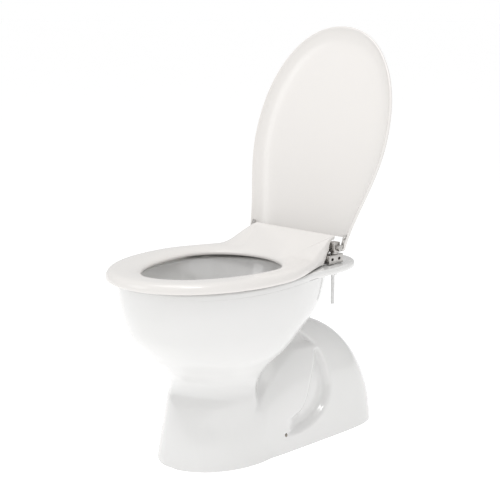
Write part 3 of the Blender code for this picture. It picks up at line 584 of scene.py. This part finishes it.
def basinInside(grow, name):
    # rounded bottom, sides, undercut rim, and at the top a rounded lip
    rows, bottom, rounded = [], basinValues["bottom"], basinValues["rounding"]
    for z in bottom - grow + rounded * (1 - np.cos(np.radians(np.arange(12, 90, 13)))):
        share = math.sqrt(1.0 - (1.0 - (z - bottom + grow) / rounded) ** 2)
        ring = basinRing(stationAt(basinStations, z), grow)
        centre = ring.mean(axis=0)
        rows.append(np.column_stack([centre + (ring - centre) * share, np.full(len(ring), z)]))
    widest = basinValues["widestHeight"]
    sides = np.arange(bottom + rounded, widest, 0.0045)
    under = [0.3140, 0.3175, 0.3200, 0.3216, 0.3230, 0.3245, 0.3260, 0.3275, 0.3300, 0.3340]
    wall = [] if grow else [*under, *np.arange(0.339, 0.3775, 0.005)]
    for z in [*sides, *wall]:
        low = max(r for r in basinStations if r[0] <= z)
        high = min((r for r in basinStations if r[0] > z), default=low)
        t = (z - low[0]) / max(high[0] - low[0], 1e-6)
        straight = [a + (b - a) * t for a, b in zip(low[1:], high[1:])]
        ring = basinRing(straight if z > widest else stationAt(basinStations, z), grow)
        rows.append(np.column_stack([ring, np.full(len(ring), z)]))
    rows = np.array(rows)
    for _ in range(2):
        rows[1:-1] = rows[1:-1] * 0.5 + (rows[:-2] + rows[2:]) * 0.25
    if grow:
        top = rows[-1:] * (1.0, 1.0, 0.0) + (0.0, 0.0, basinValues["shellTop"])
        return skin(np.concatenate([rows, top]), name)
    rim, angles = panValues["rim"], np.radians(np.arange(0, 91, 15))
    turn = panValues["rimRound"] - basinValues["lipInset"]
    lip = [basinRing(basinStations[-1][1:], turn * (1 - math.cos(a))) for a in angles]
    heights = [rim - turn + turn * math.sin(a) for a in angles]
    lip.append(basinRing(basinStations[-1][1:], turn + 0.0004))
    heights.append(rim + 0.004)
    lips = [np.column_stack([ring, np.full(len(ring), z)]) for ring, z in zip(lip, heights)]
    return skin(np.concatenate([rows, np.array(lips)]), name)


# Geometry Nodes helpers

def nodeTree(name, sockets, takesMesh=False):
    tree = bpy.data.node_groups.new(name, "GeometryNodeTree")
    tree.interface.new_socket("Geometry", in_out="OUTPUT", socket_type="NodeSocketGeometry")
    if takesMesh:
        tree.interface.new_socket("Geometry", in_out="INPUT", socket_type="NodeSocketGeometry")
    for label, kind, value in sockets:
        socket = tree.interface.new_socket(label, in_out="INPUT", socket_type="NodeSocket" + kind)
        socket.default_value = value
    tree.interface.new_socket("Material", in_out="INPUT", socket_type="NodeSocketMaterial")
    return tree, tree.nodes.new("NodeGroupInput"), tree.nodes.new("NodeGroupOutput")


def mathNode(tree, operation, *values):
    node = addNode(tree, "ShaderNodeMath", operation=operation)
    for socket, value in zip(node.inputs, values):
        if isinstance(value, (int, float)):
            socket.default_value = value
        else:
            tree.links.new(value, socket)
    return node.outputs[0]


def closeTree(tree, given, out, mesh):
    real = tree.nodes.new("GeometryNodeRealizeInstances")
    paint = tree.nodes.new("GeometryNodeSetMaterial")
    wire(tree,
         (mesh, real.inputs["Geometry"]),
         (real.outputs["Geometry"], paint.inputs["Geometry"]),
         (given.outputs["Material"], paint.inputs["Material"]),
         (paint.outputs["Geometry"], out.inputs["Geometry"]))
    return tree


def grown(item, tree, values, material):
    # runs the tree on the object and keeps the result as its plain mesh
    change = item.modifiers.new("grow", "NODES")
    change.node_group = tree
    wanted = {**values, "Material": finish[material]}
    for socket in tree.interface.items_tree:
        if socket.in_out == "INPUT" and socket.name in wanted:
            change[socket.identifier] = wanted[socket.name]
    graph = bpy.context.evaluated_depsgraph_get()
    item.data = bpy.data.meshes.new_from_object(item.evaluated_get(graph))
    item.modifiers.clear()
    item.data.materials.clear()
    item.data.materials.append(finish[material])
    return item


def joinInto(item, *others):
    # the others' meshes become part of item's
    mesh = bmesh.new()
    for part in (item, *others):
        mesh.from_mesh(part.data)
    mesh.to_mesh(item.data)
    mesh.free()
    for part in others:
        bpy.data.objects.remove(part, do_unlink=True)
    return item


def makeTubeTree():
    # round tube along the curve it is given, with closed ends
    tree, given, out = nodeTree("tubeAlongPath", [("Radius", "Float", 0.038), ("Sides", "Int", 48)], True)
    ring = tree.nodes.new("GeometryNodeCurvePrimitiveCircle")
    sweep = tree.nodes.new("GeometryNodeCurveToMesh")
    sweep.inputs["Fill Caps"].default_value = True
    wire(tree,
         (given.outputs["Sides"], ring.inputs["Resolution"]),
         (given.outputs["Radius"], ring.inputs["Radius"]),
         (given.outputs["Geometry"], sweep.inputs["Curve"]),
         (ring.outputs["Curve"], sweep.inputs["Profile Curve"]))
    return closeTree(tree, given, out, sweep.outputs["Mesh"])


tubeTree = makeTubeTree()

# trap centre line: out of the basin, over the weir and down to the floor
trapRoute = [(-0.080, 0.158), (-0.040, 0.164), (0.000, 0.182), (0.040, 0.198), (0.080, 0.196),
             (0.114, 0.172), (0.132, 0.132), (0.137, 0.085), (0.137, 0.040), (0.137, -0.004)]


def trapTube(radius, first, lastZ):
    route = np.array(trapRoute[first:])
    route[-1, 1] = lastZ
    smooth = evenly(softened(route, 3, closed=False), 60)
    data = bpy.data.curves.new("trapLine", "CURVE")
    data.dimensions = "3D"
    line = data.splines.new("POLY")
    line.points.add(len(smooth) - 1)
    for point, (y, z) in zip(line.points, smooth):
        point.co = (0.0, y, z, 1.0)
    curve = newObject("trapLine", data)
    change = curve.modifiers.new("sweep", "NODES")
    change.node_group = tubeTree
    for socket in tubeTree.interface.items_tree:
        if socket.in_out == "INPUT" and socket.name == "Radius":
            change[socket.identifier] = radius
    graph = bpy.context.evaluated_depsgraph_get()
    mesh = bmesh.new()
    mesh.from_mesh(bpy.data.meshes.new_from_object(curve.evaluated_get(graph)))
    bmesh.ops.remove_doubles(mesh, verts=mesh.verts, dist=0.00005)
    bpy.data.objects.remove(curve, do_unlink=True)
    return fromBmesh(mesh, "trapTube")


trapValues = {"outer": 0.047, "bore": 0.038, "shellEnd": 0.008, "boreEnd": -0.004}
inletValues = {"height": 0.322, "rear": 0.201, "outer": 0.030, "bore": 0.0225, "jet": 0.013}
fixingValues = {"side": 0.118, "boltY": 0.1435, "bolt": 0.0040, "boltEnd": 0.298,
                "floorHoleY": 0.009, "floorHoleZ": 0.040, "boltHole": 0.0065, "floorHole": 0.0040}


def hollowHalf(y, z):
    return softMax(bowlHalf(y, z), humpHalf(y, z, clearDent), 0.010)


def footHollow():
    rows = []
    for z in (-0.004, 0.02, 0.04, 0.06, 0.08, 0.10, 0.12, 0.14, 0.155, 0.165, 0.175, 0.185, 0.193,
              0.200, 0.206):
        front, rear = panEnds(z)
        front += (0.020 - front) * smoothStep((z - 0.15) / 0.07)
        rows.append(outlineAt(hollowHalf, front, rear, z, panValues["wall"], 60))
    return skin(rows, "footHollow", "bareClay")


def makePan():
    height, rear = inletValues["height"], inletValues["rear"]
    hollow = footHollow()
    for tool in (basinInside(basinValues["clay"], "basinShell"),
                 trapTube(trapValues["outer"], 1, trapValues["shellEnd"]),
                 cylinderMesh(inletValues["outer"], (0, 0.04, height), (0, rear, height), 48)):
        cut(hollow, tool, material="bareClay")
    settle(hollow)
    print("foot hollow ready")
    pan = panOutside()
    horn = cylinderMesh(inletValues["outer"], (0, 0.150, height), (0, rear, height), 64)
    cut(pan, horn, "UNION", "glazedChina")
    cut(pan, hollow, material="bareClay")
    for tool in (basinInside(0.0, "basin"), trapTube(trapValues["bore"], 0, trapValues["boreEnd"]),
                 cylinderMesh(inletValues["bore"], (0, 0.160, height), (0, rear + 0.004, height), 48),
                 cylinderMesh(inletValues["jet"], (0, 0.060, height), (0, 0.164, height))):
        cut(pan, tool, material="glazedChina")
    for side in (-1, 1):
        x, y = side * fixingValues["side"], fixingValues["boltY"]
        cut(pan, cylinderMesh(fixingValues["boltHole"], (x, y, 0.366), (x, y, 0.388)),
            material="bareClay")
        y, z = fixingValues["floorHoleY"], fixingValues["floorHoleZ"]
        hole = cylinderMesh(fixingValues["floorHole"], (side * 0.085, y, z), (side * 0.130, y, z), 24)
        cut(pan, hole, material="bareClay")
    return place(settle(pan, 40.0), "pan", "glazed_china", "pan")


pan = makePan()
print("pan ready:", len(pan.data.polygons), "faces")


# Seat
seatValues = {
    "bottom": 0.387, "crest": 0.407, "ceiling": 0.4003, "ridge": 0.0355,
    "tip": -0.3240, "widest": -0.083, "half": 0.184, "back": 0.1585, "backHalf": 0.1155, "corner": 0.004,
    "holeMid": -0.054, "holeHalf": 0.122, "holeFront": 0.203, "holeRear": 0.103, "holeEdge": 0.3915,
    "power": 2.1, "fullness": 1.9,
    "axis": (0.147, 0.418), "postClear": 0.0158, "postRoom": (0.1074, 0.1285),
    "bracketX": 0.0975, "bracketHalf": 0.0084, "screws": (0.076, 0.092), "screwHole": 0.0021,
}


def eggOutline(widest, tip, half, back, backHalf, power, fullness, corner, steps):
    # right half: superellipse in front, easing in behind, a small corner and a straight back
    front, side, turn, rear = steps
    angles = np.linspace(0.0, math.pi / 2, front, endpoint=False)
    points = [np.column_stack([half * np.sin(angles) ** (2 / power),
                               widest - (widest - tip) * np.cos(angles) ** (2 / power)])]
    y = np.linspace(widest, back - corner, side)
    x = backHalf + (half - backHalf) * np.cos(math.pi / 2 * (y - widest) / (back - widest)) ** fullness
    points.append(np.column_stack([x, y]))
    angles = np.linspace(0.0, math.pi / 2, turn)[1:]
    points.append(np.column_stack([x[-1] - corner * (1 - np.cos(angles)),
                                   back - corner * (1 - np.sin(angles))]))
    points.append(np.column_stack([np.linspace(x[-1] - corner, 0.0, rear)[1:], np.full(rear - 1, back)]))
    return np.concatenate(points)


def seatLift(y):
    return seatValues["ridge"] * smoothStep((y - 0.050) / (seatValues["back"] - 0.050)) ** 1.15


def seatBackLimit(z):
    # the raised back leans over the hinges
    if z < 0.415:
        return 0.109 + (z - 0.387) * 0.90
    if z < 0.432:
        return 0.1347 + (z - 0.415) * 0.64
    return min(0.1456 + (z - 0.432) * 1.35, seatValues["back"])


def seatSection(outer):
    bottom, crest = seatValues["bottom"], seatValues["crest"]
    dx, dy = outer[0], outer[1] - seatValues["holeMid"]
    length = seatValues["holeFront"] if dy < 0 else seatValues["holeRear"]
    scale = 1.0 / math.hypot(dx / seatValues["holeHalf"], dy / length)
    inner = (dx * scale, seatValues["holeMid"] + dy * scale)
    width = math.dist(outer, inner)
    way = ((inner[0] - outer[0]) / width, (inner[1] - outer[1]) / width)
    solid = float(smoothStep((outer[1] - 0.020) / 0.020))
    edge = seatValues["holeEdge"]
    ceiling = seatValues["ceiling"] + (edge - 0.0004 - seatValues["ceiling"]) * solid
    roundOff = 1.0 - 0.8 * float(smoothStep((outer[1] - 0.060) / 0.060))
    shape = np.array([
        (0.0015, bottom), (0.0, 0.3895), (0.0, 0.3945), (0.0030 * roundOff, 0.4010),
        (0.0090 * roundOff, 0.4055), (0.0180 * roundOff, crest), (width * 0.60, 0.4064),
        (width - 0.011, 0.4035), (width - 0.003, 0.3998), (width, 0.3965), (width, 0.3930),
        (width - 0.0015, edge), (width - 0.0055, edge), (width - 0.0065, ceiling),
        (0.0065, ceiling), (0.0055, bottom),
    ])
    points = []
    for corner, (reach, z) in enumerate(shape):
        x, y = outer[0] + way[0] * reach, outer[1] + way[1] * reach
        rise = 0.0 if corner in (13, 14) else min(max(z - 0.3895, 0.0) / (crest - 0.3895), 1.0)
        z += seatLift(y) * rise
        limit = seatBackLimit(z) - (0.006 if corner in (14, 15) else 0.0)
        points.append((x, min(y, limit), z))
    return softened(np.array(points), 2)


def makeSeat():
    v = seatValues
    right = eggOutline(v["widest"], v["tip"], v["half"], v["back"], v["backHalf"], v["power"],
                       v["fullness"], v["corner"], (70, 60, 9, 30))
    outline = np.concatenate([right, right[-2:0:-1] * (-1.0, 1.0)])
    seat = skin([seatSection(outer) for outer in outline], "seat_ring", "seatPlastic", closeEnds=False)
    for side in (-1, 1):
        near, far = sorted(side * x for x in v["postRoom"])
        x, half = side * v["bracketX"], v["bracketHalf"]
        tools = [cylinderMesh(v["postClear"], (near, *v["axis"]), (far, *v["axis"]), 64),
                 boxMesh((near, 0.1200, 0.380), (far, 0.150, 0.4052)),
                 boxMesh((x - half, 0.0655, 0.384), (x + half, 0.130, 0.3896))]
        for y in v["screws"]:
            tools.append(cylinderMesh(v["screwHole"], (x, y, 0.387), (x, y, 0.3983), 16))
        for tool in tools:
            cut(seat, tool, material="seatPlastic")
    return place(settle(seat, 40.0), "seat", "seat_plastic", "seat")


seat = makeSeat()
print("seat ready:", len(seat.data.polygons), "faces")


# Lid, made closed about its hinge axis and then turned open
lidValues = {
    "pivot": (0.0, 0.147, 0.418), "open": 108.2,
    "back": -0.0047, "tip": 0.4755, "widest": 0.234, "half": 0.186, "backHalf": 0.139, "corner": 0.008,
    "bracket": (0.1278, 0.1358), "notch": (0.1215, 0.0255), "pad": 0.0115, "screw": 0.022, "plate": 0.0030,
    "power": 2.12, "fullness": 1.65,
}

# how far in from the edge, height over the hinge axis: inside panel, lip, then the outer face
lidProfile = [
    (0.0550, 0.0240), (0.0340, 0.0226), (0.0220, 0.0196), (0.0140, 0.0156), (0.0085, 0.0116),
    (0.0050, 0.0082), (0.0032, 0.0069), (0.0012, 0.0076), (0.0, 0.0100), (0.0015, 0.0130),
    (0.0050, 0.0165), (0.0110, 0.0212), (0.0200, 0.0256), (0.0320, 0.0284), (0.0500, 0.0298),
    (0.0750, 0.0300),
]


def lidTurn():
    return (Matrix.Translation(lidValues["pivot"])
            @ Matrix.Rotation(math.radians(-lidValues["open"]), 4, "X"))


def lidRing(inset, height):
    v = lidValues
    right = eggOutline(-v["widest"], -v["tip"] + inset, v["half"] - inset, -v["back"] - 0.45 * inset,
                       v["backHalf"] - inset, v["power"], v["fullness"], max(v["corner"] - inset, 0.0008),
                       (70, 60, 9, 30))
    return mirrored(right, height)


def makeLid():
    profile = softened(np.array(lidProfile), 2, closed=False)
    lid = skin([lidRing(*step) for step in profile], "lid_shell", "seatPlastic")
    half, deep = lidValues["notch"]
    cut(lid, boxMesh((-half, -deep, -0.01), (half, 0.02, 0.05), 0.0010, 3), material="seatPlastic")
    cut(lid, boxMesh((-0.1272, -0.0125, -0.01), (0.1272, 0.02, 0.0158)), material="seatPlastic")
    inner, outer = lidValues["bracket"]
    for side in (-1, 1):
        x, half = side * (inner + outer) / 2, (outer - inner) / 2 + 0.0006
        pad = lidValues["pad"]
        cut(lid, boxMesh((x - half, -0.0306, -0.01), (x + half, -lidValues["back"] - 0.0045, pad)),
            material="seatPlastic")
        hole = (x, -lidValues["screw"])
        cut(lid, cylinderMesh(0.0021, (*hole, pad - 0.003), (*hole, pad + 0.0040), 16),
            material="seatPlastic")
    settle(lid, 40.0)
    lid.data.transform(lidTurn())
    return place(lid, "lid", "seat_plastic", "lid")


lid = makeLid()
print("lid ready:", len(lid.data.polygons), "faces")


# Hinges
hingeValues = {
    "y": 0.147, "z": 0.418, "pin": 0.0030, "gap": 0.0003,
    "plinthX": 0.0098, "plinthFront": 0.121, "plinthRear": 0.165, "plinthLow": 0.3854,
    "plinthHigh": 0.4045, "slots": (0.1306, 0.1521), "slotHeight": 0.3955, "counterbore": 0.0062,
    "postHalf": 0.0090, "postFront": 0.0095, "postBack": 0.0080, "postLow": 0.4085, "postHigh": 0.4300,
    "neck": 0.0072, "neckShift": 0.0008, "grub": 0.0030, "socket": 0.0016, "bolt": 0.0043, "head": 0.0071,
}


def slotMesh(x, y, z, reach, radius, halfLength):
    # oval bar along X
    half = halfLength + radius
    mesh = boxMesh((x - reach, y - half, z - radius), (x + reach, y + half, z + radius))
    along = [e for e in mesh.edges if abs(e.verts[0].co.x - e.verts[1].co.x) > reach]
    bmesh.ops.bevel(mesh, geom=along, offset=radius * 0.999, segments=8, profile=0.5, affect="EDGES")
    return mesh


def makePlinth(side, label):
    v, x, y = hingeValues, side * fixingValues["side"], fixingValues["boltY"]
    plinth = fromBmesh(boxMesh((x - v["plinthX"], v["plinthFront"], v["plinthLow"]),
                               (x + v["plinthX"], v["plinthRear"], v["plinthHigh"]), 0.0015),
                       "plinth_" + label, "brushedSteel")
    top = v["plinthHigh"]
    cut(plinth, cylinderMesh(v["bolt"], (x, y, v["plinthLow"] - 0.002), (x, y, top + 0.002)),
        material="brushedSteel")
    cut(plinth, cylinderMesh(v["head"], (x, y, top - v["counterbore"]), (x, y, top + 0.002), 40),
        material="brushedSteel")
    for middle in v["slots"]:
        cut(plinth, slotMesh(x, middle, v["slotHeight"], 0.02, 0.0030, 0.0010), material="brushedSteel")
    return place(settle(plinth, 30.0), "pan", "hinge_steel", "hinge_plinth_" + label)


def makePost(side, label):
    v, x, y, z = hingeValues, side * fixingValues["side"], hingeValues["y"], hingeValues["z"]
    post = fromBmesh(boxMesh((x - v["postHalf"], y - v["postFront"], v["postLow"]),
                             (x + v["postHalf"], y + v["postBack"], v["postHigh"]), 0.0012, 4),
                     "post_" + label, "brushedSteel")
    neckY = y - v["neckShift"]
    neck = cylinderMesh(v["neck"], (x, neckY, v["plinthHigh"] + v["gap"]),
                        (x, neckY, v["postLow"] + 0.003), 48)
    cut(post, neck, "UNION", "brushedSteel")
    for radius, start, end in ((v["pin"], (x - 0.015, y, z), (x + 0.015, y, z)),
                               (v["grub"], (x, y - 0.015, z), (x, y - 0.001, z))):
        cut(post, cylinderMesh(radius + v["gap"], start, end), material="brushedSteel")
    return place(settle(post, 30.0), "pan", "hinge_steel", "hinge_post_" + label)


def makeGrub(side, label):
    v, x, z = hingeValues, side * fixingValues["side"], hingeValues["z"]
    front = v["y"] - v["postFront"]
    mesh = cylinderMesh(v["grub"], (x, front + 0.0006, z), (x, v["y"] - v["pin"] - v["gap"], z))
    rims = [e for e in mesh.edges if e.calc_face_angle(0) > 1.0]
    bmesh.ops.bevel(mesh, geom=rims, offset=0.0004, segments=2, profile=0.5, affect="EDGES")
    grub = fromBmesh(mesh, "set_screw_" + label, "brushedSteel")
    cut(grub, cylinderMesh(v["socket"], (x, front - 0.002, z), (x, front + 0.0036, z), 6),
        material="brushedSteel")
    return place(settle(grub, 30.0), "pan", "hinge_steel", "grub_screw_" + label)


# Turned pieces: a closed profile of radius and height, spun round
def turnedMesh(x, y, profile, segments=48):
    mesh = bmesh.new()
    verts = [mesh.verts.new((x + radius, y, z)) for radius, z in profile]
    edges = [mesh.edges.new(pair) for pair in zip(verts, verts[1:])]
    if profile[0][0] > 0:
        edges.append(mesh.edges.new((verts[-1], verts[0])))
    bmesh.ops.spin(mesh, geom=verts + edges, cent=(x, y, 0), axis=(0, 0, 1), angle=2 * math.pi,
                   steps=segments, use_merge=True)
    bmesh.ops.remove_doubles(mesh, verts=mesh.verts, dist=0.00002)
    return mesh


def makeThreadTree():
    # a rod whose surface rises in a helix and fades at both ends
    tree, given, out = nodeTree("threadedRod", [("Radius", "Float", 0.0037), ("Depth", "Float", 0.0006),
                                                ("Pitch", "Float", 0.0018), ("Length", "Float", 0.06),
                                                ("Rings", "Int", 200), ("Sides", "Int", 28)])
    rod = tree.nodes.new("GeometryNodeMeshCylinder")
    for label, socket in (("Sides", "Vertices"), ("Rings", "Side Segments"), ("Radius", "Radius"),
                          ("Length", "Depth")):
        tree.links.new(given.outputs[label], rod.inputs[socket])
    spot = tree.nodes.new("GeometryNodeInputPosition")
    parts = tree.nodes.new("ShaderNodeSeparateXYZ")
    tree.links.new(spot.outputs[0], parts.inputs[0])
    around = mathNode(tree, "ARCTAN2", parts.outputs["Y"], parts.outputs["X"])
    angle = mathNode(tree, "DIVIDE", around, 2 * math.pi)
    turns = mathNode(tree, "DIVIDE", parts.outputs["Z"], given.outputs["Pitch"])
    phase = mathNode(tree, "FRACT", mathNode(tree, "SUBTRACT", mathNode(tree, "ADD", turns, 1000.0), angle))
    offCrest = mathNode(tree, "ABSOLUTE", mathNode(tree, "MULTIPLY_ADD", phase, 2.0, -1.0))
    ridge = mathNode(tree, "SUBTRACT", 1.0, offCrest)
    half = mathNode(tree, "MULTIPLY", given.outputs["Length"], 0.5)
    toEnd = mathNode(tree, "SUBTRACT", half, mathNode(tree, "ABSOLUTE", parts.outputs["Z"]))
    fade = addNode(tree, "ShaderNodeClamp")
    tree.links.new(mathNode(tree, "DIVIDE", toEnd, given.outputs["Pitch"]), fade.inputs["Value"])
    full = mathNode(tree, "MULTIPLY", ridge, given.outputs["Depth"])
    height = mathNode(tree, "MULTIPLY", full, fade.outputs[0])
    share = mathNode(tree, "DIVIDE", height, given.outputs["Radius"])
    flat = tree.nodes.new("ShaderNodeCombineXYZ")
    tree.links.new(mathNode(tree, "MULTIPLY", parts.outputs["X"], share), flat.inputs["X"])
    tree.links.new(mathNode(tree, "MULTIPLY", parts.outputs["Y"], share), flat.inputs["Y"])
    move = tree.nodes.new("GeometryNodeSetPosition")
    tree.links.new(rod.outputs["Mesh"], move.inputs["Geometry"])
    tree.links.new(flat.outputs[0], move.inputs["Offset"])
    return closeTree(tree, given, out, move.outputs["Geometry"])


def makeRibTree():
    # upright ribs on a circle, added to the mesh it is given
    tree, given, out = nodeTree("gripRibs", [("Count", "Int", 14), ("Radius", "Float", 0.0084),
                                             ("Rib", "Float", 0.0011), ("Height", "Float", 0.0048),
                                             ("Centre", "Vector", (0.0, 0.0, 0.0))], True)
    ring = tree.nodes.new("GeometryNodeMeshCircle")
    rib = tree.nodes.new("GeometryNodeMeshCylinder")
    rib.inputs["Vertices"].default_value = 10
    spread = tree.nodes.new("GeometryNodeInstanceOnPoints")
    shift = tree.nodes.new("GeometryNodeTransform")
    join = tree.nodes.new("GeometryNodeJoinGeometry")
    wire(tree,
         (given.outputs["Count"], ring.inputs["Vertices"]),
         (given.outputs["Radius"], ring.inputs["Radius"]),
         (given.outputs["Rib"], rib.inputs["Radius"]),
         (given.outputs["Height"], rib.inputs["Depth"]),
         (ring.outputs["Mesh"], spread.inputs["Points"]),
         (rib.outputs["Mesh"], spread.inputs["Instance"]),
         (spread.outputs["Instances"], shift.inputs["Geometry"]),
         (given.outputs["Centre"], shift.inputs["Translation"]),
         (shift.outputs["Geometry"], join.inputs["Geometry"]),
         (given.outputs["Geometry"], join.inputs["Geometry"]))
    return closeTree(tree, given, out, join.outputs["Geometry"])


threadTree = makeThreadTree()
ribTree = makeRibTree()


def makeBolt(side, label):
    x, y, radius = side * fixingValues["side"], fixingValues["boltY"], fixingValues["bolt"]
    topZ, endZ = hingeValues["plinthHigh"], fixingValues["boltEnd"]
    headZ = topZ - hingeValues["counterbore"] + hingeValues["gap"]
    shank, shankEnd, threadTop = radius - 0.0003, 0.3650, 0.3660
    bolt = fromBmesh(turnedMesh(x, y, [
        (0.0, topZ - 0.0016), (0.0050, topZ - 0.0017), (0.0062, topZ - 0.0022), (0.0066, topZ - 0.0030),
        (0.0066, headZ), (shank, headZ), (shank, shankEnd), (0.0, shankEnd)]),
        "stud_" + label, "whiteNylon")
    thread = newObject("thread", bpy.data.meshes.new("thread"))
    length = threadTop - endZ
    grown(thread, threadTree, {"Radius": radius - 0.0006, "Depth": 0.0006, "Pitch": 0.0018,
                               "Length": length, "Rings": 220, "Sides": 28}, "whiteNylon")
    thread.data.transform(Matrix.Translation((x, y, endZ + length / 2)))
    return place(settle(joinInto(bolt, thread), 50.0), "pan", "fixing_nylon", "fixing_bolt_" + label)


def makeNut(side, label):
    x, y, bore = side * fixingValues["side"], fixingValues["boltY"], fixingValues["bolt"] + 0.0003
    under = panValues["rim"] - panValues["ledgeThick"]
    nut = fromBmesh(turnedMesh(x, y, [
        (0.0086, under - 0.0023), (0.0093, under - 0.0028), (0.0095, under - 0.0040),
        (0.0086, under - 0.0046), (0.0082, under - 0.0086), (0.0076, under - 0.0092),
        (0.0066, under - 0.0095), (bore, under - 0.0095), (bore, under - 0.0023)]), "nut_" + label)
    grown(nut, ribTree, {"Count": 14, "Radius": 0.0081, "Rib": 0.0010, "Height": 0.0046,
                         "Centre": (x, y, under - 0.0066)}, "whiteNylon")
    return place(settle(nut, 40.0), "pan", "fixing_nylon", "fixing_nut_" + label)


def makePadTree():
    # a row of round ribs along X on the mesh it is given
    tree, given, out = nodeTree("padRibs", [("Count", "Int", 5), ("Step", "Float", 0.0045),
                                            ("Length", "Float", 0.0080), ("Rib", "Float", 0.0008),
                                            ("Start", "Vector", (0.0, 0.0, 0.0))], True)
    line = tree.nodes.new("GeometryNodeMeshLine")
    rib = tree.nodes.new("GeometryNodeMeshCylinder")
    rib.inputs["Vertices"].default_value = 12
    spread = tree.nodes.new("GeometryNodeInstanceOnPoints")
    spread.inputs["Rotation"].default_value = (math.pi / 2, 0.0, 0.0)
    join = tree.nodes.new("GeometryNodeJoinGeometry")
    offset = tree.nodes.new("ShaderNodeCombineXYZ")
    wire(tree,
         (given.outputs["Step"], offset.inputs["X"]),
         (given.outputs["Count"], line.inputs["Count"]),
         (given.outputs["Start"], line.inputs["Start Location"]),
         (offset.outputs[0], line.inputs["Offset"]),
         (given.outputs["Rib"], rib.inputs["Radius"]),
         (given.outputs["Length"], rib.inputs["Depth"]),
         (line.outputs["Mesh"], spread.inputs["Points"]),
         (rib.outputs["Mesh"], spread.inputs["Instance"]),
         (spread.outputs["Instances"], join.inputs["Geometry"]),
         (given.outputs["Geometry"], join.inputs["Geometry"]))
    return closeTree(tree, given, out, join.outputs["Geometry"])


padTree = makePadTree()
padValues = {"front": (0.102, -0.228, 42.0), "rear": (0.147, -0.010, 100.0), "half": (0.0130, 0.0055),
             "low": 0.3849, "high": 0.4000, "rib": 0.0006}


def makePad(side, label, end):
    x, y, turn = padValues[end]
    halfX, halfY = padValues["half"]
    low, high = padValues["low"], padValues["high"]
    pad = fromBmesh(boxMesh((-halfX, -halfY, low), (halfX, halfY, high), 0.0015, 4),
                    "seat_pad_%s_%s" % (end, label))
    grown(pad, padTree, {"Count": 5, "Step": 0.0045, "Length": 0.0085, "Rib": padValues["rib"],
                         "Start": (-0.0090, 0.0, low)}, "paleRubber")
    spin = Matrix.Rotation(math.radians(side * turn), 4, "Z")
    pad.data.transform(Matrix.Translation((side * x, y, 0)) @ spin)
    return place(settle(pad, 40.0), "seat", "buffer_rubber", "seat_buffer_%s_%s" % (end, label))


for side, label in ((1, "right"), (-1, "left")):
    makePlinth(side, label)
    makePost(side, label)
    makeGrub(side, label)
    makeBolt(side, label)
    makeNut(side, label)
    makePad(side, label, "front")
    makePad(side, label, "rear")
print("hinges, fixings and pads ready")


# CAD nodes that stay get their finish here
keptFinish = {
    "hinge_pin": "brushedSteel", "seat_bracket": "brushedSteel", "lid_bracket": "brushedSteel",
    "seat_screw": "brushedSteel", "lid_screw": "brushedSteel", "seat_bush": "bushPlastic",
    "lid_bush": "bushPlastic", "nut_washer": "whiteNylon", "plinth_gasket": "paleRubber",
}

for name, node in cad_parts.items():
    for start, material in keptFinish.items():
        if name.startswith(start):
            node.data.materials.clear()
            node.data.materials.append(finish[material])


# Floor and light
studioValues = {
    "floor": 0.93, "floorGlow": 0.385, "floorSize": 60.0, "surround": 0.66, "seen": 1.0,
    "key": (9.0, 0.7), "front": (8.0, 1.3), "fill": (4.0, 2.2), "top": (18.0, 1.6),
}


def makeFloor():
    mesh = bmesh.new()
    bmesh.ops.create_circle(mesh, cap_ends=True, segments=96, radius=studioValues["floorSize"] / 2)
    floor = fromBmesh(mesh, "floor")
    floor.location.z = -0.0005
    made, tree, shader = newMaterial("paleFloor")
    patches = placeGroup(tree, softPatches, Scale=1.5, Contrast=1.0)
    grey = studioValues["floor"]
    tree.links.new(mixColours(tree, patches.outputs["Mask"], (grey,) * 3, (grey - 0.01,) * 3),
                   shader.inputs["Base Color"])
    shader.inputs["Roughness"].default_value = 0.9
    shader.inputs["Emission Color"].default_value = (1.0, 1.0, 1.0, 1.0)
    shader.inputs["Emission Strength"].default_value = studioValues["floorGlow"]
    floor.data.materials.append(made)


def makeSurround():
    world = bpy.data.worlds.new("studio")
    world.use_nodes = True
    tree = world.node_tree
    lit = tree.nodes["Background"]
    lit.inputs["Color"].default_value = (1.0, 1.0, 1.0, 1.0)
    lit.inputs["Strength"].default_value = studioValues["surround"]
    seen = addNode(tree, "ShaderNodeBackground")
    seen.inputs["Color"].default_value = (1.0, 1.0, 1.0, 1.0)
    seen.inputs["Strength"].default_value = studioValues["seen"]
    path, mix = addNode(tree, "ShaderNodeLightPath"), addNode(tree, "ShaderNodeMixShader")
    wire(tree,
         (path.outputs["Is Camera Ray"], mix.inputs[0]),
         (lit.outputs[0], mix.inputs[1]),
         (seen.outputs[0], mix.inputs[2]),
         (mix.outputs[0], tree.nodes["World Output"].inputs["Surface"]))
    bpy.context.scene.world = world


def makeLight(name, location, target, power, size):
    data = bpy.data.lights.new(name, "AREA")
    data.energy, data.size, data.shape = power, size, "SQUARE"
    light = bpy.data.objects.new(name, data)
    light.location = location
    light.rotation_mode = "QUATERNION"
    light.rotation_quaternion = (Vector(target) - Vector(location)).to_track_quat("-Z", "Y")
    bpy.context.scene.collection.objects.link(light)


makeFloor()
makeSurround()
makeLight("keyLight", (0.92, -0.80, 2.65), (0, 0, 0.35), *studioValues["key"])
makeLight("frontLight", (-1.3, -2.6, 1.7), (0, 0, 0.30), *studioValues["front"])
makeLight("fillLight", (3.0, -0.4, 1.5), (0, 0, 0.35), *studioValues["fill"])
makeLight("topLight", (-0.1, -0.6, 2.9), (0, -0.1, 0.4), *studioValues["top"])
bpy.context.scene.view_settings.view_transform = "Standard"
print("floor and light ready")
